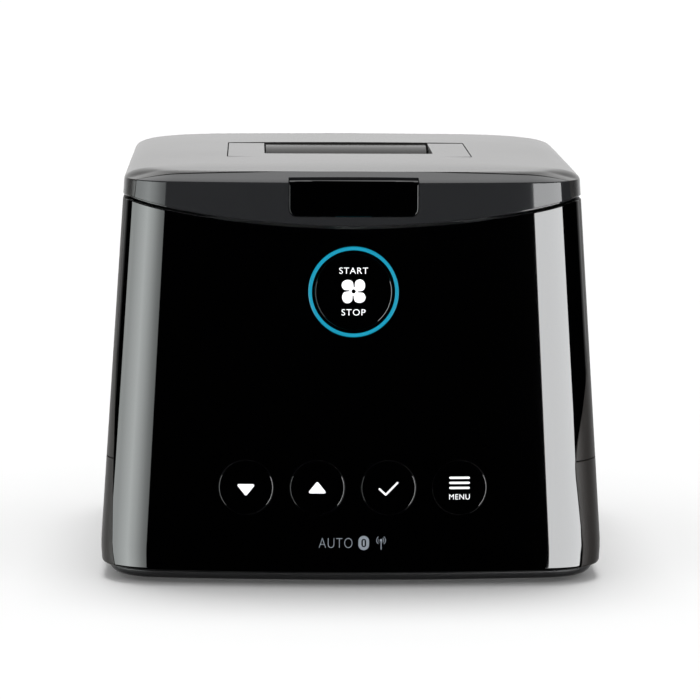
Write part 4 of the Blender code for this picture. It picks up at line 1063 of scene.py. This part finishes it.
lid_plastic = Finish("lid_plastic", (0.040, 0.039, 0.038), 0.30, Specular_IOR_Level=0.5)
lid_grain = lid_plastic.noise(2400.0, 3.0, 0.6)
lid_cloud = lid_plastic.noise(10.0, 4.0, 0.5)
lid_plastic.bump(lid_grain, 0.000003)
lid_plastic.drive("Roughness", lid_cloud * 0.05 + 0.20)
lid_plastic.tint(lid_cloud, (0.036, 0.035, 0.034), (0.044, 0.043, 0.042))
lid_plastic = lid_plastic.material

top = show("lid_top", case_wall(lid_levels(), crown=lid_crown), lid_plastic, "lid", "lid_cover")
carve(top, "DIFFERENCE", tool("ahead", block((-FAR, -FAR, -FAR), (FAR, CREASE_Y + PIECE_GAP / 2, FAR))))

trim_plastic = Finish("trim_plastic", (0.028, 0.029, 0.031), 0.07, Specular_IOR_Level=0.5)
trim_cloud = trim_plastic.noise(12.0, 4.0, 0.5)
trim_plastic.drive("Roughness", trim_cloud * 0.04 + 0.05)
trim_plastic.tint(trim_cloud, (0.025, 0.026, 0.028), (0.031, 0.032, 0.034))
trim_plastic = trim_plastic.material
trim = show("lid_trim", case_wall(trim_levels()), trim_plastic, "lid", "lid_front_trim")
carve(trim, "DIFFERENCE", tool("behind", block((-FAR, CREASE_Y - PIECE_GAP / 2, -FAR), (FAR, FAR, FAR))))


def soften(piece, radius, segments, pick):
    """Round the edges that pick() chooses from a finished mesh."""
    shape = bmesh.new()
    shape.from_mesh(piece.data)
    shape.normal_update()
    edges = [edge for edge in shape.edges if len(edge.link_faces) == 2 and pick(edge)]
    bmesh.ops.bevel(shape, geom=edges, offset=radius, segments=segments, affect="EDGES", profile=0.5,
                    material=-1,
                    clamp_overlap=True)
    shape.to_mesh(piece.data)
    shape.free()
    return piece


RELEASE_HALF = 0.0214
RELEASE_LOW = 0.1242
NOTCH_REAR = EDGE_Y + 0.0061


def release_slab(slack, rear, bottom_radius=0.0024):
    def low_corner(edge):
        return along_y(edge) and edge.verts[0].co.z < 0.130
    return block((-RELEASE_HALF - slack, -0.13, RELEASE_LOW - slack), (RELEASE_HALF + slack, rear, 0.150),
                 bottom_radius + slack, 8, low_corner)


carve(trim, "DIFFERENCE", tool("notch", release_slab(PIECE_GAP, NOTCH_REAR)))
smooth(trim, 30.0)

# ---- Lid hinge barrel -------------------------------------------------------------------
# The middle barrel grows out of the lid's rear edge on a raised arm.

arm = [(-0.0070, 0.0020), (0.0, 0.0018), (0.0034, 0.0), (0.0022, 0.0062), (0.0008, 0.0080), (-0.0016, 0.0090),
       (-0.0070, 0.0094)]
carve(top, "UNION", barrel(0.0, 0.0070, arm))
carve(top, "DIFFERENCE", pin_bore())

# ---- Carry handle and its pocket --------------------------------------------------------
# A U-shaped handle lies flush in a pocket, turns up on two pins at its rear ends, and has
# a scoop between its arms for the fingers.

grip_low, grip_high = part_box("carry_handle")
ARM = 0.0127
BAR = 0.0130
THICK = grip_high.z - grip_low.z
POCKET = 0.0004
pivot = Vector((0.0, grip_high.y - THICK / 2, grip_high.z - THICK / 2))
pocket = block((grip_low.x - POCKET, grip_low.y - POCKET, 0.120),
               (grip_high.x + POCKET, grip_high.y + POCKET, 0.150),
               0.0008, 4, upright)
carve(top, "DIFFERENCE", tool("pocket", pocket))
groove = turned(((0.0018, -0.046), (0.0018, 0.046)), pivot, "X", 24)
carve(top, "DIFFERENCE", tool("groove", groove))
smooth(top, 30.0)

grip = show("handle_bail", block((grip_low.x, grip_low.y, grip_low.z), (grip_high.x, pivot.y, grip_high.z),
                                 0.0015, 5,
                                 upright), lid_plastic, "carry_handle", "carry_handle")
gap = block((grip_low.x + ARM, grip_low.y + BAR, 0.120), (grip_high.x - ARM, 0.060, 0.150), 0.0020, 5,
            upright)
carve(grip, "DIFFERENCE", tool("gap", gap))
for side in (-1, 1):
    x = side * (grip_high.x - ARM / 2)
    half = ARM / 2
    end = turned(((0.0, -half), (THICK / 2, -half), (THICK / 2, half), (0.0, half)), (x, pivot.y, pivot.z),
                 "X", 64)
    carve(grip, "UNION", tool("end", end))
carve(grip, "DIFFERENCE", tool("bore", turned(((0.0018, -0.06), (0.0018, 0.06)), pivot, "X", 24)))


def outer_rim(edge):
    flat = [face for face in edge.link_faces if abs(face.normal.z) > 0.999]
    return len(flat) == 1 and edge.calc_face_angle(0.0) > math.radians(60)


soften(grip, 0.0004, 3, outer_rim)
smooth(grip)

tray_low, tray_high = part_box("handle_tray")
inside = Vector((grip_high.x + POCKET, 0.0, 0.0))
pocket_tray = show("handle_pocket", block(tray_low, tray_high, 0.0015, 3, upright), lid_plastic, "lid",
                   "handle_tray")
hollow = block((-inside.x, grip_low.y - POCKET, tray_low.z + 0.0020),
               (inside.x, grip_high.y + POCKET, 0.150), 0.0010,
               3, upright)
carve(pocket_tray, "DIFFERENCE", tool("hollow", hollow))
carve(pocket_tray, "DIFFERENCE", tool("bore", turned(((0.0018, -0.06), (0.0018, 0.06)), pivot, "X", 24)))
smooth(pocket_tray)

scoop_low, scoop_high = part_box("finger_scoop")
shape = bmesh.new()
bmesh.ops.create_grid(shape, x_segments=24, y_segments=30, size=0.5)
for vert in shape.verts:
    u, v = vert.co.x + 0.5, vert.co.y + 0.5
    y = scoop_low.y + (scoop_high.y - scoop_low.y) * v
    z = scoop_low.z + 0.0014 + (scoop_high.z - scoop_low.z - 0.0014) * math.sin(v * math.pi / 2) ** 2.44
    z += 0.0006 * (2 * u - 1) ** 4 * (1.0 - v)
    vert.co = (scoop_low.x + (scoop_high.x - scoop_low.x) * u, y, z)
grown = bmesh.ops.extrude_face_region(shape, geom=shape.faces[:], use_keep_orig=True)["geom"]
for vert in (item for item in grown if isinstance(item, bmesh.types.BMVert)):
    vert.co.z = scoop_low.z
bmesh.ops.recalc_face_normals(shape, faces=shape.faces)
show("scoop", shape, lid_plastic, "lid", "finger_scoop")

# ---- Lid liner --------------------------------------------------------------------------
# A plain inner plate closes the lid from below and carries the soft seal of the bay.

liner_low, liner_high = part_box("lid_liner")
liner_levels = [(liner_low.z, 0.0050), (liner_low.z + 0.0004, 0.0046), (liner_high.z, 0.0046)]
liner = show("lid_lining", case_wall(liner_levels), inner_plastic, "lid", "lid_liner")
cut = block((-0.030, -FAR, 0.110), (0.030, -0.0885, 0.130), 0.003, 5, upright)
carve(liner, "DIFFERENCE", tool("cut", cut))
smooth(liner)

# ---- Lid release ------------------------------------------------------------------------
# A gloss black press button fills a notch in the lid's front edge, with a dark gap behind
# it for its travel. A steel hook on its back holds the lid down.

RELEASE_THICK = 0.0028
press = show("release_cap", case_wall(lid_levels(hollow=False), crown=lid_crown), piano_black, "lid_release",
             "release_button")
carve(press, "DIFFERENCE", facet_cutter(), facet_cutter(FRONT_EDGE_Z - 0.0006, 0.58))
carve(press, "INTERSECT", tool("slab", release_slab(0.0, EDGE_Y + RELEASE_THICK)))


def front_rim(edge):
    return edge.calc_face_angle(0.0) > math.radians(40) and max(v.co.y for v in edge.verts) < EDGE_Y + 0.0012


soften(press, 0.0004, 3, front_rim)
smooth(press, 30.0)

# ---- Studio -----------------------------------------------------------------------------
# A pale floor and a white surround behind, dark in front, with a tall soft light on each
# side and one overhead.

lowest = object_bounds()[0]


def studio(name, shape, colour, glossy):
    """A light panel, not seen by the camera, as bright as its mesh's level attribute."""
    mesh = bpy.data.meshes.new(name)
    shape.to_mesh(mesh)
    shape.free()
    made = bpy.data.objects.new(name, mesh)
    bpy.context.scene.collection.objects.link(made)
    material = bpy.data.materials.new(name)
    material.use_nodes = True
    tree = material.node_tree
    tree.nodes.clear()
    glow = tree.nodes.new("ShaderNodeEmission")
    glow.inputs["Color"].default_value = (*colour, 1.0)
    level = tree.nodes.new("ShaderNodeAttribute")
    level.attribute_name = "level"
    tree.links.new(level.outputs["Fac"], glow.inputs["Strength"])
    out = tree.nodes.new("ShaderNodeOutputMaterial")
    tree.links.new(glow.outputs[0], out.inputs[0])
    mesh.materials.append(material)
    made.visible_camera = False
    made.visible_diffuse = not glossy
    made.visible_glossy = glossy
    made.visible_shadow = False


def light_wall(name, colour, levels, radius=1.1, low=-0.6, high=0.30):
    """A curved light panel, given as (angle from straight ahead, brightness) along its width."""
    shape = bmesh.new()
    foot = shape.verts.new((0.0, -radius, low))
    head = shape.verts.new((0.0, -radius, high))
    edge = shape.edges.new((foot, head))
    start, end = levels[0][0], levels[-1][0]
    bmesh.ops.rotate(shape, verts=[foot, head], cent=(0, 0, 0),
                     matrix=Matrix.Rotation(math.radians(start), 3, "Z"))
    bmesh.ops.spin(shape, geom=[foot, head, edge], cent=(0, 0, 0), axis=(0, 0, 1),
                   angle=math.radians(end - start),
                   steps=40)
    layer = shape.verts.layers.float.new("level")
    for vert in shape.verts:
        angle = math.degrees(math.atan2(vert.co.x, -vert.co.y))
        for (a, low_level), (b, high_level) in zip(levels, levels[1:]):
            if a - 1e-3 <= angle <= b + 1e-3:
                vert[layer] = low_level + (high_level - low_level) * (angle - a) / (b - a)
    studio(name, shape, colour, True)


light_wall("right_softbox", (0.98, 0.99, 1.0), ((23.0, 7.8), (79.0, 7.8)))
light_wall("left_softbox", (0.95, 1.0, 0.99),
           ((-109.0, 2.2), (-95.0, 2.8), (-68.0, 5.2), (-55.0, 4.0), (-42.0, 2.2),
                                               (-34.0, 1.5)))
dome = bmesh.new()
bmesh.ops.create_uvsphere(dome, u_segments=24, v_segments=16, radius=4.0)
bmesh.ops.bisect_plane(dome, geom=dome.verts[:] + dome.edges[:] + dome.faces[:], plane_co=(0, 0, 0),
                       plane_no=(0, 0, 1), clear_inner=True)
layer = dome.verts.layers.float.new("level")
for vert in dome.verts:
    vert[layer] = 0.60
studio("sky_dome", dome, (1.0, 1.0, 1.0), False)
overhead = bpy.data.lights.new("overhead", "SUN")
overhead.energy = 1.9
overhead.angle = math.radians(30.0)
overhead = bpy.data.objects.new("overhead", overhead)
overhead.rotation_euler = (math.radians(-15.0), 0.0, 0.0)
overhead.visible_glossy = False
bpy.context.scene.collection.objects.link(overhead)

ground = bmesh.new()
bmesh.ops.create_grid(ground, x_segments=1, y_segments=1, size=3.0)
mesh = bpy.data.meshes.new("floor")
ground.to_mesh(mesh)
ground.free()
floor = bpy.data.objects.new("floor", mesh)
bpy.context.scene.collection.objects.link(floor)
floor_paint = Finish("floor_paint", (0.86, 0.86, 0.86), 0.9, Specular_IOR_Level=0.0, Emission_Strength=0.05)
floor_paint.shader.inputs["Emission Color"].default_value = (1.0, 1.0, 1.0, 1.0)
mesh.materials.append(floor_paint.material)
floor.location = (0.0, 0.85, lowest[2])
floor.visible_glossy = False

world = bpy.data.worlds.new("studio")
bpy.context.scene.world = world
world.use_nodes = True
tree = world.node_tree
sky = tree.nodes["Background"]
where = tree.nodes.new("ShaderNodeTexCoord")
split = tree.nodes.new("ShaderNodeSeparateXYZ")
tree.links.new(where.outputs["Generated"], split.inputs[0])


def ramp(axis, start, end, low, high):
    made = tree.nodes.new("ShaderNodeMapRange")
    made.interpolation_type = "SMOOTHSTEP"
    tree.links.new(split.outputs[axis], made.inputs["Value"])
    for key, value in (("From Min", start), ("From Max", end), ("To Min", low), ("To Max", high)):
        made.inputs[key].default_value = value
    return Value(tree, made.outputs["Result"])


tree.links.new(ramp("Y", 0.60, 0.98, 0.0, 1.06).socket, sky.inputs["Strength"])
sky.inputs["Color"].default_value = (1.0, 1.0, 1.0, 1.0)

camera = bpy.data.cameras.new("camera")
camera.lens = 214.68
camera.sensor_width = 36.0
camera.clip_end = 20.0
camera = bpy.data.objects.new("camera", camera)
camera.location = (-0.0333, FRONT_Y - 1.3756, 0.2498)
aim = Matrix.Rotation(math.radians(-1.336), 3, "Z") @ Matrix.Rotation(math.radians(90.0 - 7.027), 3, "X")
camera.rotation_euler = (aim @ Matrix.Rotation(math.radians(0.28), 3, "Z")).to_euler()
bpy.context.scene.collection.objects.link(camera)
bpy.context.scene.camera = camera
bpy.context.scene.view_settings.view_transform = "Standard"
